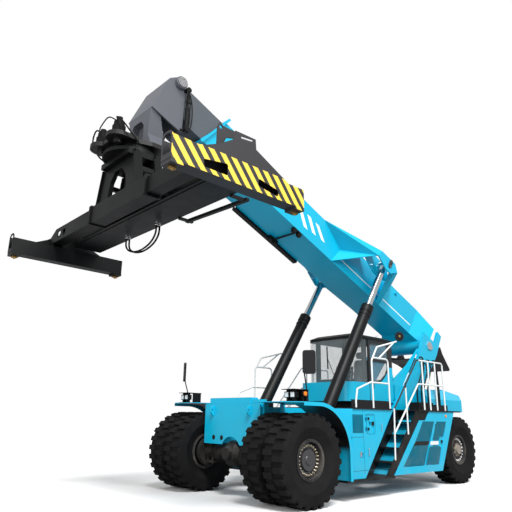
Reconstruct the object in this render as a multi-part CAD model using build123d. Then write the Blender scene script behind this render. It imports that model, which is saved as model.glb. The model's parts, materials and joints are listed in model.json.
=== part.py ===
from build123d import *
import os
from math import atan2, cos, degrees, hypot, pi, radians, sin, sqrt, tan

# Reach stacker for loaded containers: lorry-like chassis, luffing telescopic
# boom, rotator and telescopic top spreader.
#
# Frame: +X forward, +Y to the machine's left, +Z up; the origin is on the floor
# under the middle of the front axle. All sizes are in millimetres.

os.makedirs("parts", exist_ok=True)

# ---------------------------------------------------------------- driving sizes
# wheels
TYRE_R = 832            # rolling radius to the lugs' tips
TYRE_W = 530            # section width
TYRE_BORE = 336         # bead seat
LUG_H = 44              # height of a shoulder lug
LUGS = 26               # lugs on each shoulder
FRONT_OUTER_Y = 1875    # middle of the outer front tyre
DUAL_SPACING = 620
REAR_Y = 1378           # middle of a rear tyre
WHEELBASE = 6420
SEAT = 0.3              # running gap between faces of two bodies
RUN = 0.05              # radial clearance of a pin in its bore
# chassis
RAIL_OUT = 900          # outer face of a main girder
RAIL_W = 280
RAIL_Z0, RAIL_Z1 = 1010, 1770
RAIL_REAR = -5300
PLATE_X = 190           # front face of the front plate
PLATE_T = 30
PLATE_TOP = 1830
SPINE_HALF = 440        # half width of the rear spine
SPINE_REAR = -7100
DECK_T = 30
BOX_OUT = 1900          # outer face of the side boxes
BOX_Z0 = 410
FENDER_IN, FENDER_OUT = 930, 2120
FENDER_T = 14
FENDER_TOP = 1862
FENDER_CX, FENDER_CZ, FENDER_R = -200, 900, 962
FENDER_FRONT = 450
# counterweight
CW_HALF = 1300
BOX_IN = CW_HALF         # inner face of the side boxes
CW_X0, CW_X1, CW_REAR = -5620, -7300, -7900
CW_Z0, CW_EDGE, CW_TOP = 1800, 2110, 2420
# tower that carries the boom
PIVOT_X, PIVOT_Z = -6470, 3640
TOWER_OUT, TOWER_IN = 900, 830
PIVOT_PIN_R = 110
# boom
LUFF = 23.2             # boom's rise as parked
BOOM_HALF = 470
BOOM_H0, BOOM_H1 = 205, 1105   # lower and upper face above the pivot line
BOOM_WALL = 14
BOOM_KNEE_T, BOOM_KNEE_B = 263, 464   # where the flare starts, top and bottom
BOOM_END_T, BOOM_END_B = 8580, 8960   # slanted front edge
FLARE_HALF = 810
INNER_HALF = 400
INNER_H0, INNER_H1 = 275, 1085
INNER_S0 = 1900
HEAD_X, HEAD_Z = 2290, 8450    # pin that carries the rotator head
HEAD_PIN_R = 75
# lift cylinders
LIFT_Y = 1060
LIFT_S, LIFT_H = 2890, 850     # upper pin on the boom
LIFT_ANGLE = 123.05            # lean of the cylinders from +X
LIFT_BASE_Z = 1100
BARREL_R, COLLAR_R, ROD_R = 146, 158, 90
COLLAR_FROM_PIN = 1503
EYE_R, EYE_HALF, LIFT_PIN_R = 135, 80, 60
CHEEK_Y0, CHEEK_Y1 = 862, 892
EAR_Y0, EAR_Y1 = 1226, 1262
# head, rotator and spreader
HANGER_Y0, HANGER_Y1 = 445, 480
SLEW_X = 3050
SLEW_R = 500
MOTOR_X, MOTOR_Y = 3535, 335   # slewing motors and their pinions
SPREADER_X = 3270
SHIFT_Y = 865                  # side shift as parked
TWIST_X = 1129.5               # half spacing of the corner castings, across
TWIST_Y = 2846                 # half spacing, along, at the 20 foot stop
TWIST_Z = 4560                 # tips of the twistlocks
END_Z0, END_Z1 = 4680, 5020
END_HALF = 1230                # half length of an end beam
# x and z of the rear tube's section: a box with a sloping flange behind
REAR_TUBE = [(2620, 5050), (3250, 5050), (3250, 5360), (3040, 5360), (2620, 5100)]
REAR_HOLLOW = (3040, 3236, 5064, 5346)  # x from, x to, z from, z to
FRONT_TUBE = (3430, 3710, 5020, 5350)
LEFT_BEAM = (3055, 3221, 5079, 5331)    # inner beams of the two ends
RIGHT_BEAM = (3452, 3688, 5042, 5328)
RAIL_TOP = 5559.7              # running face of the slide way
SLIDE_HALF = 1430              # half its length
REAR_TUBE_HALF = 2722          # half length along Y
FRONT_TUBE_HALF = 990


# ---------------------------------------------------------------- small helpers
def box(x0, x1, y0, y1, z0, z1):
    return Pos((x0 + x1) / 2, (y0 + y1) / 2, (z0 + z1) / 2) * Box(
        abs(x1 - x0), abs(y1 - y0), abs(z1 - z0))


def rod(p, q, r, r2=None):
    """A cylinder, or a cone when r2 is given, from point p to point q."""
    a, b = Vector(*p), Vector(*q)
    length = (b - a).length
    body = (Cylinder(r, length) if r2 is None else Cone(r, r2, length))
    return Plane(origin=(a + b) / 2, z_dir=(b - a).normalized()) * body


PLANES = {"x": Plane(origin=(0, 0, 0), x_dir=(0, 1, 0), z_dir=(1, 0, 0)),
          "y": Plane(origin=(0, 0, 0), x_dir=(1, 0, 0), z_dir=(0, -1, 0)),
          "z": Plane(origin=(0, 0, 0), x_dir=(1, 0, 0), z_dir=(0, 0, 1))}


def outline(pts, radius=0):
    if not radius:
        return make_face(Polyline(*pts, close=True))
    radii = radius if isinstance(radius, (list, tuple)) else [radius] * len(pts)
    return make_face(FilletPolyline(*pts, radius=list(radii), close=True))


def prism(axis, pts, a, b, radius=0):
    """Extrude an outline along an axis from a to b; pts are the other two."""
    a, b = min(a, b), max(a, b)
    plane = PLANES[axis]
    start = -b if axis == "y" else a
    return plane.offset(start) * extrude(outline(pts, radius), b - a)


def both(shape):
    """The piece and its mirror image across the machine's middle plane."""
    return Compound(list(shape.solids()) + list(mirror(shape, Plane.XZ).solids()))


def on_boom(s, h, y=0.0):
    """A point s along the boom and h above its pivot line."""
    a = radians(LUFF)
    return (PIVOT_X + s * cos(a) - h * sin(a), y, PIVOT_Z + s * sin(a) + h * cos(a))


BOOM_PLANE = Plane(origin=(PIVOT_X, 0, PIVOT_Z),
                   x_dir=(cos(radians(LUFF)), 0, sin(radians(LUFF))), z_dir=(0, -1, 0))


def boom_prism(pts, y0, y1, radius=0):
    """Extrude an outline given as (s, h) across the boom from y0 to y1."""
    y0, y1 = min(y0, y1), max(y0, y1)
    return BOOM_PLANE.offset(-y1) * extrude(outline(pts, radius), y1 - y0)


def boom_box(s0, s1, y0, y1, h0, h1):
    return boom_prism([(s0, h0), (s1, h0), (s1, h1), (s0, h1)], y0, y1)


def plate(points, thickness, towards):
    """A flat plate under a polygon in space, thickened towards a point."""
    pts = [Vector(*p) for p in points]
    face = Face(Wire.make_polygon(pts, close=True))
    normal = face.normal_at()
    if (Vector(*towards) - pts[0]).dot(normal) < 0:
        normal = normal * -1
    return Part() + Solid.extrude(face, normal * thickness)


def hull(points):
    """The closed flat-sided solid round a few points."""
    pts = [Vector(*p) for p in points]
    n, faces, seen = len(pts), [], set()
    for i in range(n):
        for j in range(i + 1, n):
            for k in range(j + 1, n):
                normal = (pts[j] - pts[i]).cross(pts[k] - pts[i])
                if normal.length < 1e-6:
                    continue
                normal = normal.normalized()
                far = [(q - pts[i]).dot(normal) for q in pts]
                if max(far) > 1e-4 and min(far) < -1e-4:
                    continue
                on = tuple(m for m in range(n) if abs(far[m]) < 1e-4)
                if on in seen:
                    continue
                seen.add(on)
                mid = sum((pts[m] for m in on), Vector(0, 0, 0)) / len(on)
                u = (pts[on[0]] - mid).normalized()
                v = normal.cross(u)
                ring = sorted(on, key=lambda m: atan2((pts[m] - mid).dot(v), (pts[m] - mid).dot(u)))
                faces.append(Face(Wire.make_polygon([pts[m] for m in ring], close=True)))
    return Part() + Solid(Shell(faces))


def tube_path(pts, r, bend):
    """A round bar bent along straight runs and arcs."""
    pts = [Vector(*p) for p in pts]
    if len(pts) == 2:
        return rod(tuple(pts[0]), tuple(pts[1]), r)
    path = FilletPolyline(*pts, radius=bend)
    start = Plane(origin=pts[0], z_dir=(pts[1] - pts[0]).normalized())
    return sweep(start * Circle(r), path=path)


def union(parts):
    out = Part()
    for piece in parts:
        out += piece
    return out


def joined(*parts):
    """Solids of one node that stay apart."""
    return Compound([s for p in parts for s in p.solids()])


MODEL = {}


def keep(name, shape):
    MODEL[name] = shape if isinstance(shape, Compound) else Part() + shape


# ---------------------------------------------------------------- wheels
def tyre(mid_y, side):
    """A ring tyre of flat facets with staggered shoulder lugs.

    Each sector has the profile of a lug or of the gap between two lugs; the
    two shoulders are half a pitch apart, so every sector is a lug on one side.
    """
    n = 2 * LUGS
    half = TYRE_W / 2
    # columns: offset from the tyre's middle, radius
    low = [(half * 0.62, TYRE_BORE), (half, TYRE_R * 0.70), (half * 0.93, TYRE_R - 92),
           (half * 0.86, TYRE_R - LUG_H), (0, TYRE_R - LUG_H)]
    high = low[:3] + [(half * 0.88, TYRE_R), (half * 0.10, TYRE_R),
                      (half * 0.04, TYRE_R - LUG_H), (0, TYRE_R - LUG_H)]
    bore_scale = 1 / cos(pi / n)

    def at(k, prof, sgn):
        a = 2 * pi * k / n
        y, r = prof
        r = r * bore_scale if r == TYRE_BORE else r
        return Vector(r * cos(a), mid_y + sgn * y, TYRE_R + r * sin(a))

    faces = []

    def quad(*pts):
        faces.append(Face(Wire.make_polygon(list(pts), close=True)))

    for k in range(n):
        for sgn in (1, -1):
            lug = (k % 2 == 0) == (sgn > 0)
            prof = high if lug else low
            for p, q in zip(prof, prof[1:]):
                quad(at(k, p, sgn), at(k, q, sgn), at(k + 1, q, sgn), at(k + 1, p, sgn))
            wall = [at(k, p, sgn) for p in high[2:6]] + [at(k, low[3], sgn)]
            quad(*wall)
        quad(at(k, low[0], 1), at(k, low[0], -1), at(k + 1, low[0], -1), at(k + 1, low[0], 1))
    shell = Shell(faces)
    solid = Solid(shell)
    return solid


def ring_profile(pts, x, z):
    """Revolve (y, r) points about the wheel's axle line."""
    face = make_face(Polyline(*[(r, y) for y, r in pts], close=True))
    plane = Plane(origin=(x, 0, z), x_dir=(1, 0, 0), z_dir=(0, 0, 1))
    # local x is the radius, local y runs along the axle
    return Part() + revolve(plane * Rot(0, 0, 0) * face, Axis((x, 0, z), (0, 1, 0)), 360)


print("wheels")
tyre_solid = tyre(0, 1)
for side, sgn in (("left", 1), ("right", -1)):
    base = tyre_solid if sgn > 0 else mirror(tyre_solid, Plane.XZ)
    keep(f"front_{side}_tyres", Compound([Pos(0, sgn * y, 0) * base
                                          for y in (FRONT_OUTER_Y, FRONT_OUTER_Y - DUAL_SPACING)]))
    keep(f"rear_{side}_tyre", Pos(-WHEELBASE, sgn * REAR_Y, 0) * base)

RIM_R = TYRE_BORE - 0.5
RIM_HALF = TYRE_W / 2 * 0.62
FLANGE_R = 372
FLANGE_Y = 17           # where the flange's rim stands, out from the bead seat
for side, sgn in (("left", 1), ("right", -1)):
    o, i = FRONT_OUTER_Y, FRONT_OUTER_Y - DUAL_SPACING
    # columns: y from the middle of the machine, radius
    band = [(i - RIM_HALF - 30, 318), (i - RIM_HALF - 30, FLANGE_R), (i - RIM_HALF - FLANGE_Y, FLANGE_R),
            (i - RIM_HALF - 1, RIM_R), (i + RIM_HALF + 1, RIM_R), (i + RIM_HALF + 6, 348),
            (o - RIM_HALF - 6, 348), (o - RIM_HALF - 1, RIM_R), (o + RIM_HALF + 1, RIM_R),
            (o + RIM_HALF + FLANGE_Y, FLANGE_R), (o + RIM_HALF + 30, FLANGE_R), (o + RIM_HALF + 30, 318)]
    rim = ring_profile(band, 0, TYRE_R)
    keep(f"front_{side}_rims", rim if sgn > 0 else mirror(rim, Plane.XZ))
    disc_y = o + RIM_HALF - 70
    # columns: y, radius
    hub = [(935, 0), (935, 300), (1010, 300), (1010, 210), (disc_y - 60, 210), (disc_y - 60, 317.7),
           (disc_y - 20, 317.7), (disc_y - 20, 285), (disc_y, 285), (disc_y, 205), (disc_y + 20, 195),
           (disc_y + 50, 185), (disc_y + 50, 95), (disc_y + 66, 85), (disc_y + 66, 0)]
    hub_part = ring_profile(hub, 0, TYRE_R)
    nuts = 24
    for k in range(nuts):
        a = 2 * pi * k / nuts
        hub_part += Pos(245 * cos(a), disc_y + 8, TYRE_R + 245 * sin(a)) * Rot(90, 0, 0) * \
            extrude(RegularPolygon(19, 6), 14, both=True)
    keep(f"front_{side}_hub", hub_part if sgn > 0 else mirror(hub_part, Plane.XZ))

    c = REAR_Y
    band = [(c - RIM_HALF - 30, 318), (c - RIM_HALF - 30, FLANGE_R), (c - RIM_HALF - FLANGE_Y, FLANGE_R),
            (c - RIM_HALF - 1, RIM_R), (c + RIM_HALF + 1, RIM_R), (c + RIM_HALF + FLANGE_Y, FLANGE_R),
            (c + RIM_HALF + 30, FLANGE_R), (c + RIM_HALF + 30, 318)]
    rim = ring_profile(band, -WHEELBASE, TYRE_R)
    keep(f"rear_{side}_rim", rim if sgn > 0 else mirror(rim, Plane.XZ))
    face_y = c + RIM_HALF - 30
    hub = [(1205, 0), (1205, 150), (face_y - 60, 150), (face_y - 60, 317.7), (face_y - 30, 317.7),
           (face_y - 30, 250), (face_y, 240), (face_y, 120), (face_y + 60, 110), (face_y + 60, 0)]
    hub_part = ring_profile(hub, -WHEELBASE, TYRE_R)
    for k in range(10):
        a = 2 * pi * k / 10
        hub_part += Pos(-WHEELBASE + 190 * cos(a), face_y + 12, TYRE_R + 190 * sin(a)) * Rot(90, 0, 0) * \
            extrude(RegularPolygon(30, 6), 18, both=True)
    keep(f"rear_{side}_hub", hub_part if sgn > 0 else mirror(hub_part, Plane.XZ))

# ---------------------------------------------------------------- axles
print("axles")
axle = union([
    rod((0, -906, TYRE_R), (0, 906, TYRE_R), 168),
    rod((0, -934.7, TYRE_R), (0, -906, TYRE_R), 290),
    rod((0, 906, TYRE_R), (0, 934.7, TYRE_R), 290),
])
diff = revolve(Plane(origin=(0, 0, TYRE_R), x_dir=(0, 0, 1), z_dir=(1, 0, 0)) * make_face(
    Polyline((0, -300), (180, -250), (262, -130), (262, 130), (180, 250), (0, 300), close=True)),
    Axis((0, 0, TYRE_R), (0, 1, 0)), 360)
axle += diff
axle += rod((180, 0, TYRE_R + 10), (320, 0, TYRE_R + 10), 165, 120)
axle += rod((-460, 0, TYRE_R), (-200, 0, TYRE_R), 110, 170)
for sgn in (1, -1):
    axle += box(-190, 155, sgn * 640, sgn * 860, TYRE_R + 60, RAIL_Z0)
    for x in (-150, 110):
        for y in (670, 830):
            axle += rod((x, sgn * y, TYRE_R - 230), (x, sgn * y, TYRE_R + 100), 24)
    axle += box(-185, 150, sgn * 645, sgn * 855, TYRE_R - 215, TYRE_R - 165)
keep("front_axle", axle)

KING_Y = 930
rear = union([
    box(-WHEELBASE - 170, -WHEELBASE + 170, -700, 700, 690, 985),
    rod((-WHEELBASE - 359.7, 0, 1010), (-WHEELBASE + 359.7, 0, 1010), 130),
    rod((-WHEELBASE + 255, -430, 655), (-WHEELBASE + 255, 430, 655), 68),
    rod((-WHEELBASE + 255, -575, 655), (-WHEELBASE + 255, 575, 655), 30),
    box(-WHEELBASE + 100, -WHEELBASE + 300, -90, 90, 640, 760),
])
for sgn in (1, -1):
    rear += prism("z", [(-WHEELBASE - 170, sgn * 690), (-WHEELBASE + 170, sgn * 690),
                        (-WHEELBASE + 110, sgn * (KING_Y + 90)), (-WHEELBASE - 110, sgn * (KING_Y + 90))], 935, 985)
    rear += prism("z", [(-WHEELBASE - 170, sgn * 690), (-WHEELBASE + 170, sgn * 690),
                        (-WHEELBASE + 110, sgn * (KING_Y + 90)), (-WHEELBASE - 110, sgn * (KING_Y + 90))], 690, 740)
    rear -= rod((-WHEELBASE, sgn * KING_Y, 600), (-WHEELBASE, sgn * KING_Y, 1100), 45 + RUN)
keep("rear_axle", rear)
for side, sgn in (("left", 1), ("right", -1)):
    knuckle = union([
        rod((-WHEELBASE, KING_Y, 740.3), (-WHEELBASE, KING_Y, 934.7), 85),
        rod((-WHEELBASE, KING_Y, 640), (-WHEELBASE, KING_Y, 983), 45),
        rod((-WHEELBASE, KING_Y, TYRE_R), (-WHEELBASE, 1204.7, TYRE_R), 90),
        rod((-WHEELBASE, 1150, TYRE_R), (-WHEELBASE, 1204.7, TYRE_R), 190),
        prism("z", [(-WHEELBASE - 60, KING_Y - 60), (-WHEELBASE - 60, KING_Y + 60), (-WHEELBASE + 60, KING_Y + 60),
                    (-WHEELBASE + 285, KING_Y - 165), (-WHEELBASE + 225, KING_Y - 235)], 640, 680, 20),
    ])
    keep(f"rear_{side}_knuckle", knuckle if sgn > 0 else mirror(knuckle, Plane.XZ))

# ---------------------------------------------------------------- chassis frame
print("frame")
LIFT_UP = Vector(cos(radians(LIFT_ANGLE)), 0, sin(radians(LIFT_ANGLE)))
LIFT_PIN = Vector(*on_boom(LIFT_S, LIFT_H, LIFT_Y))
LIFT_LEN = (LIFT_PIN.Z - LIFT_BASE_Z) / LIFT_UP.Z
LIFT_BASE = LIFT_PIN - LIFT_UP * LIFT_LEN
BX = LIFT_BASE.X

frame = Part()
for sgn in (1, -1):
    frame += prism("y", [(PLATE_X - PLATE_T, RAIL_Z0), (PLATE_X - PLATE_T, RAIL_Z1), (RAIL_REAR, RAIL_Z1),
                         (RAIL_REAR, RAIL_Z0 + 250), (RAIL_REAR + 500, RAIL_Z0)],
                   sgn * RAIL_OUT, sgn * (RAIL_OUT - RAIL_W))
for x in (-900, -2300, -3250):
    frame += box(x - 70, x + 70, -RAIL_OUT + 100, RAIL_OUT - 100, 1150, 1650)
frame += box(RAIL_REAR - 20, RAIL_REAR + 240, -RAIL_OUT, RAIL_OUT, RAIL_Z0 + 250, RAIL_Z1)
frame += prism("y", [(RAIL_REAR + 200, 1250), (-WHEELBASE + 480, 1145), (-WHEELBASE - 480, 1145),
                     (SPINE_REAR, 1250), (SPINE_REAR, RAIL_Z1), (RAIL_REAR + 200, RAIL_Z1)],
               -SPINE_HALF, SPINE_HALF)
for x in (-WHEELBASE - 420, -WHEELBASE + 420):
    frame += prism("x", [(-260, 1160), (260, 1160), (150, 880), (-150, 880)], x - 60, x + 60)
# lift cylinder brackets, low on the girders
for sgn in (1, -1):
    y1, y2 = sgn * (LIFT_Y - EYE_HALF - 20), sgn * (LIFT_Y + EYE_HALF + 20)
    cheek = [(BX - 300, 900), (BX + 230, 900), (BX + 170, 1130), (BX + 90, 1205), (BX - 90, 1205), (BX - 300, 1060)]
    frame += prism("y", cheek, sgn * (RAIL_OUT - 5), y1, 30)
    frame += prism("y", cheek, y2, y2 + sgn * 40, 30)
    frame += box(BX - 290, BX + 220, sgn * (RAIL_OUT - 5), y2 + sgn * 20, 900, 925)
plate_face = prism("x", [(-RAIL_OUT, RAIL_Z0), (RAIL_OUT, RAIL_Z0), (RAIL_OUT, PLATE_TOP), (-RAIL_OUT, PLATE_TOP)],
                   PLATE_X - PLATE_T, PLATE_X, 25)
plate_face -= rod((0, 0, RAIL_Z0 - 170), (400, 0, RAIL_Z0 - 170), 330)
for sgn in (1, -1):
    for y in (560, 740):
        plate_face -= Pos(0, sgn * y, 1165) * Plane.YZ * extrude(SlotOverall(130, 84, rotation=90), 400, both=True)
frame += plate_face
# tow and lashing lugs on the front plate
for sgn in (1, -1):
    lug = prism("y", [(PLATE_X - 5, 1560), (PLATE_X + 95, 1660), (PLATE_X + 95, 1760), (PLATE_X - 5, 1800)],
                sgn * 600 - 17, sgn * 600 + 17, 0)
    lug -= rod((PLATE_X + 50, sgn * 600 - 30, 1700), (PLATE_X + 50, sgn * 600 + 30, 1700), 26)
    frame += lug
# towing hitch: two plates with an upright pin hole
for z in (1330, 1450):
    hitch = prism("z", [(SPINE_REAR + 5, -150), (SPINE_REAR + 5, 150), (SPINE_REAR - 120, 90), (SPINE_REAR - 180, 60),
                        (SPINE_REAR - 180, -60), (SPINE_REAR - 120, -90)], z, z + 40)
    frame += hitch - rod((SPINE_REAR - 110, 0, z - 10), (SPINE_REAR - 110, 0, z + 50), 27)
keep("chassis_frame", frame)

keep("lift_base_pins", both(rod((BX, LIFT_Y - EYE_HALF - 19.7, LIFT_BASE_Z), (BX, LIFT_Y + EYE_HALF + 19.7, LIFT_BASE_Z), 70)))

# black cross beam over the front plate, with the hose junction beside it
cross = box(-60, 140, -800, 560, PLATE_TOP, PLATE_TOP + 130)
cross += box(-60, 120, 560, 820, PLATE_TOP, PLATE_TOP + 90)
cross += box(-50, 130, -800, 560, RAIL_Z1, PLATE_TOP) + box(-50, 110, 560, 820, RAIL_Z1, PLATE_TOP)
keep("front_cross_beam", cross)

engine = box(-5000, -3450, -560, 560, 1050, 1700)
for x in (-4600, -3800):
    engine += box(x - 80, x + 80, -RAIL_OUT + RAIL_W + SEAT, RAIL_OUT - RAIL_W - SEAT, 1300, 1400)
keep("engine_block", engine)

# ---------------------------------------------------------------- fenders
print("fenders")


def fender(inset):
    """Side outline of the fender sheet, moved inwards by inset."""
    r = FENDER_R - inset
    top = FENDER_CZ + r
    back = FENDER_CX - r
    with BuildLine() as line:
        Line((FENDER_FRONT, top), (FENDER_CX, top))
        JernArc((FENDER_CX, top), (-1, 0), r, 90)
        Line((back, FENDER_CZ), (back, BOX_Z0))
    return line.line


def fender_band(inset, thick):
    outer, inner = fender(inset), fender(inset + thick)
    ends = [Line(outer @ 0, inner @ 0), Line(outer @ 1, inner @ 1)]
    return make_face(outer + inner + ends[0] + ends[1])


sheet = PLANES["y"].offset(-FENDER_OUT) * extrude(fender_band(0, FENDER_T), FENDER_OUT - FENDER_IN)
sheet += PLANES["y"].offset(-FENDER_OUT) * extrude(fender_band(0, 70), FENDER_T)
# room for the lift cylinder inside the rear half of the arch
sheet -= box(-1400, -430, FENDER_IN - 10, 1270, 300, 1840)
sheet -= prism("z", [(FENDER_FRONT + 10, 1700), (FENDER_FRONT + 10, FENDER_OUT + 10), (FENDER_FRONT - 260, FENDER_OUT + 10)],
               1500, 1950)
# brackets from the girders
for x in (-420, 60):
    sheet += box(x - 60, x + 60, RAIL_OUT + SEAT, FENDER_IN + 12, 1640, 1855)
keep("front_fenders", both(sheet))

# ---------------------------------------------------------------- side boxes, stairs and decks
print("boxes")
RISE = (1560 - 400) / (4020 - 2870)      # slope of the stair, up per back


def stair_x(z, at_floor):
    return at_floor - (z - 400) / RISE


FRONT_EDGE = FENDER_CX - FENDER_R - SEAT
front_plan = [(FRONT_EDGE, BOX_IN), (FRONT_EDGE, 1600), (-1470, BOX_OUT), (-3100, BOX_OUT), (-3100, BOX_IN)]
front_box = prism("z", front_plan, BOX_Z0, RAIL_Z1)
BOX_REAR = ((-1850, BOX_Z0), (-2950, RAIL_Z1))     # slanted rear edge of the front box
front_box -= prism("y", [(-1842, BOX_Z0 - 10), BOX_REAR[0], BOX_REAR[1], (-2958, RAIL_Z1 + 10), (-3400, 1800), (-3400, 300)],
                   BOX_IN - 10, BOX_OUT + 10)
# recess and slats of the side grille
front_box -= box(-1720, -1500, BOX_OUT - 20, BOX_OUT + 10, 1290, 1640)
for k in range(9):
    x = -1700 + 22.5 * k
    front_box += box(x, x + 10, BOX_OUT - 21, BOX_OUT - 4, 1285, 1645)
# valve panel with openings
front_box -= box(-2210, -1880, BOX_OUT - 12, BOX_OUT + 10, 1260, 1660)
for x, z in ((-1950, 1560), (-2080, 1480), (-1950, 1360)):
    front_box -= box(x - 32, x + 32, BOX_OUT - 80, BOX_OUT, z - 40, z + 40)
front_box -= box(-1800, -1740, BOX_OUT - 30, BOX_OUT + 10, 800, 900)
BOX_LONG = (WHEELBASE - 740 - 2888) / 2792      # how the rear box grows with the wheel base


def along_box(x):
    return -2888 + (x + 2888) * BOX_LONG


rear_box = prism("y", [(-2888, BOX_Z0), (-4022, 1560), (-4287, 1560), (-4472, RAIL_Z1), (along_box(-5680), RAIL_Z1),
                       (along_box(-4920), BOX_Z0)], BOX_IN, BOX_OUT)
# two mesh doors, set back in the outer face
for quad in ([(-3320, 560), (-4130, 1480), (-4620, 1480), (-4270, 560)],
             [(-4370, 560), (-4720, 1480), (-5230, 1480), (-4850, 560)]):
    rear_box -= prism("y", [(along_box(x), z) for x, z in quad], BOX_OUT - 22, BOX_OUT + 10, 25)
keep("front_side_boxes", both(front_box))
keep("rear_side_boxes", both(rear_box))

STRINGER = [(-2620, 400), (-2868, 400), (-4018, 1560), (-4283, 1560), (-4468, RAIL_Z1), (-3960, RAIL_Z1)]
stair = Part()
for y in (BOX_IN + 5, BOX_OUT - 50):
    stair += prism("y", STRINGER, y, y + 40)
for k in range(4):
    z = 400 + (RAIL_Z1 + DECK_T - 400) / 5 * (k + 1) - 30
    x = stair_x(z, -2640)
    stair += box(x - 215, x - 5, BOX_IN + 44, BOX_OUT - 49, z, z + 30)
stair += box(-2865, -1200, BOX_IN, BOX_OUT + 30, 360, 400)
stair -= box(-2400, -1250, BOX_IN + 60, BOX_OUT - 30, 350, 390)
keep("stairs", both(stair))

# deck plates: opened for the lift cylinders, the stairs and the tower
deck = box(-5300, -1290, -BOX_OUT - 30, BOX_OUT + 30, RAIL_Z1, RAIL_Z1 + DECK_T)
for sgn in (1, -1):
    deck -= box(-2120, -1290, sgn * 905, sgn * 1270, RAIL_Z1 - 5, RAIL_Z1 + DECK_T + 5)
    deck -= box(-3965, -2880, sgn * (BOX_IN + 5), sgn * (BOX_OUT + 40), RAIL_Z1 - 5, RAIL_Z1 + DECK_T + 5)
    deck -= box(-1480, -1280, sgn * 1280, sgn * (BOX_OUT + 40), RAIL_Z1 - 5, RAIL_Z1 + DECK_T + 5)
deck -= box(-5310, -4430, -TOWER_OUT - 5, TOWER_OUT + 5, RAIL_Z1 - 5, RAIL_Z1 + DECK_T + 5)
for sgn in (1, -1):
    deck += box(-2870, -1490, sgn * (BOX_OUT - 34), sgn * (BOX_OUT - 14), RAIL_Z1 + 20, RAIL_Z1 + 190)
    deck += box(-5300, -4480, sgn * (BOX_OUT - 34), sgn * (BOX_OUT - 14), RAIL_Z1 + 20, RAIL_Z1 + 130)
    deck += box(-6000, -5290, sgn * (CW_HALF + 10), sgn * (BOX_OUT + 20), RAIL_Z1, RAIL_Z1 + DECK_T)
    # low boxes on the deck beside the tower
    deck += box(-5400, -4720, sgn * 1330, sgn * 1500, RAIL_Z1 + 20, 2000) + box(-5290, -4720, sgn * 1200, sgn * 1335, RAIL_Z1 + 20, 2000)
    deck += box(-5980, -5390, sgn * (CW_HALF + 30), sgn * 1580, RAIL_Z1 + 20, 1950)
keep("decks", deck)

# ---------------------------------------------------------------- hand rails
RT = 19                 # radius of the rail tube
RAIL_Y = BOX_OUT - 10 + RT + 0.3
rails = Part()
DZ = RAIL_Z1 + DECK_T
front_rail = [tube_path([(-1600, RAIL_Y, DZ), (-1600, RAIL_Y, DZ + 120), (-1660, RAIL_Y, DZ + 380), (-2140, RAIL_Y, DZ + 540),
                         (-2790, RAIL_Y, DZ + 540)], RT, 60),
              tube_path([(-2210, RAIL_Y, DZ), (-2210, RAIL_Y, 2880), (-2830, RAIL_Y, 2880), (-2830, RAIL_Y, DZ)], RT, 90),
              tube_path([(-2250, RAIL_Y, 2870), (-2430, RAIL_Y, 3130), (-3220, RAIL_Y, 3330)], RT, 90),
              rod((-2500, RAIL_Y, 2890), (-3100, RAIL_Y, 3290), RT)]
rear_rail = [tube_path([(-2925, RAIL_Y, 720), (-2985, RAIL_Y, 1790), (-4060, RAIL_Y, 2970), (-5250, RAIL_Y, 2970),
                        (-5250, RAIL_Y, DZ)], RT, 70),
             tube_path([(-2956, RAIL_Y, 1270), (-4060, RAIL_Y, 2400), (-5250, RAIL_Y, 2400)], RT, 70)]
for x, z0 in ((-3500, 1250), (-4280, DZ), (-4560, DZ), (-4880, DZ)):
    rear_rail.append(rod((x, RAIL_Y, z0), (x, RAIL_Y, 2390 if x > -4000 else 2960), RT))
rails = union(front_rail) 
rails2 = union(rear_rail)
keep("hand_rails", both(joined(rails, rails2)))

# ---------------------------------------------------------------- counterweight
print("counterweight")
cw = prism("z", [(CW_X0, -CW_HALF), (CW_X0, CW_HALF), (CW_X1, CW_HALF), (CW_REAR, CW_HALF - 450),
                 (CW_REAR, -CW_HALF + 450), (CW_X1, -CW_HALF)], CW_Z0, CW_TOP, 0)
for sgn in (1, -1):
    cw -= prism("x", [(sgn * CW_HALF, CW_EDGE), (sgn * (CW_HALF + 50), CW_EDGE), (sgn * (CW_HALF + 50), CW_TOP + 50),
                      (sgn * (CW_HALF - 420), CW_TOP + 50), (sgn * (CW_HALF - 420), CW_TOP)], CW_REAR - 50, CW_X0 + 50)
cw -= prism("y", [(CW_X1 + 300, CW_TOP + 1), (CW_REAR - 60, CW_EDGE + 60), (CW_REAR - 60, CW_TOP + 60), (CW_X1 + 300, CW_TOP + 60)],
            -CW_HALF - 10, CW_HALF + 10)
cw -= box(CW_X1 + 350, CW_X0 + 60, -TOWER_OUT - 20, TOWER_OUT + 20, CW_Z0 - 10, CW_TOP + 10)
cw += box(SPINE_REAR, -6950, -SPINE_HALF, SPINE_HALF, RAIL_Z1, CW_Z0 + 5)
keep("counterweight", cw)

# ---------------------------------------------------------------- tower
print("tower")
LEAN = atan2(6080 - 4460, 3690 - DZ)     # the tower leans back by this much
LEAN_DIR = (-sin(LEAN), cos(LEAN))


def tower_x(z, at_deck=-4460):
    """X of a line that leans like the tower, at height z."""
    return at_deck - (z - DZ) * tan(LEAN)


SIDE = [(tower_x(RAIL_Z1), RAIL_Z1), (-5374, RAIL_Z1), (-6850, 3380), (-7200, 3980), (-7020, 4100), (-6800, 3745),
        (-6240, 4000), (-6080, 3690), (-5790, 3190), (-5210, 2560)]
tower = Part()
for sgn in (1, -1):
    arm = prism("y", SIDE, sgn * TOWER_IN, sgn * TOWER_OUT)
    arm -= rod((PIVOT_X, sgn * (TOWER_IN - 5), PIVOT_Z), (PIVOT_X, sgn * (TOWER_OUT + 5), PIVOT_Z), PIVOT_PIN_R + RUN)
    tower += arm
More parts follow.
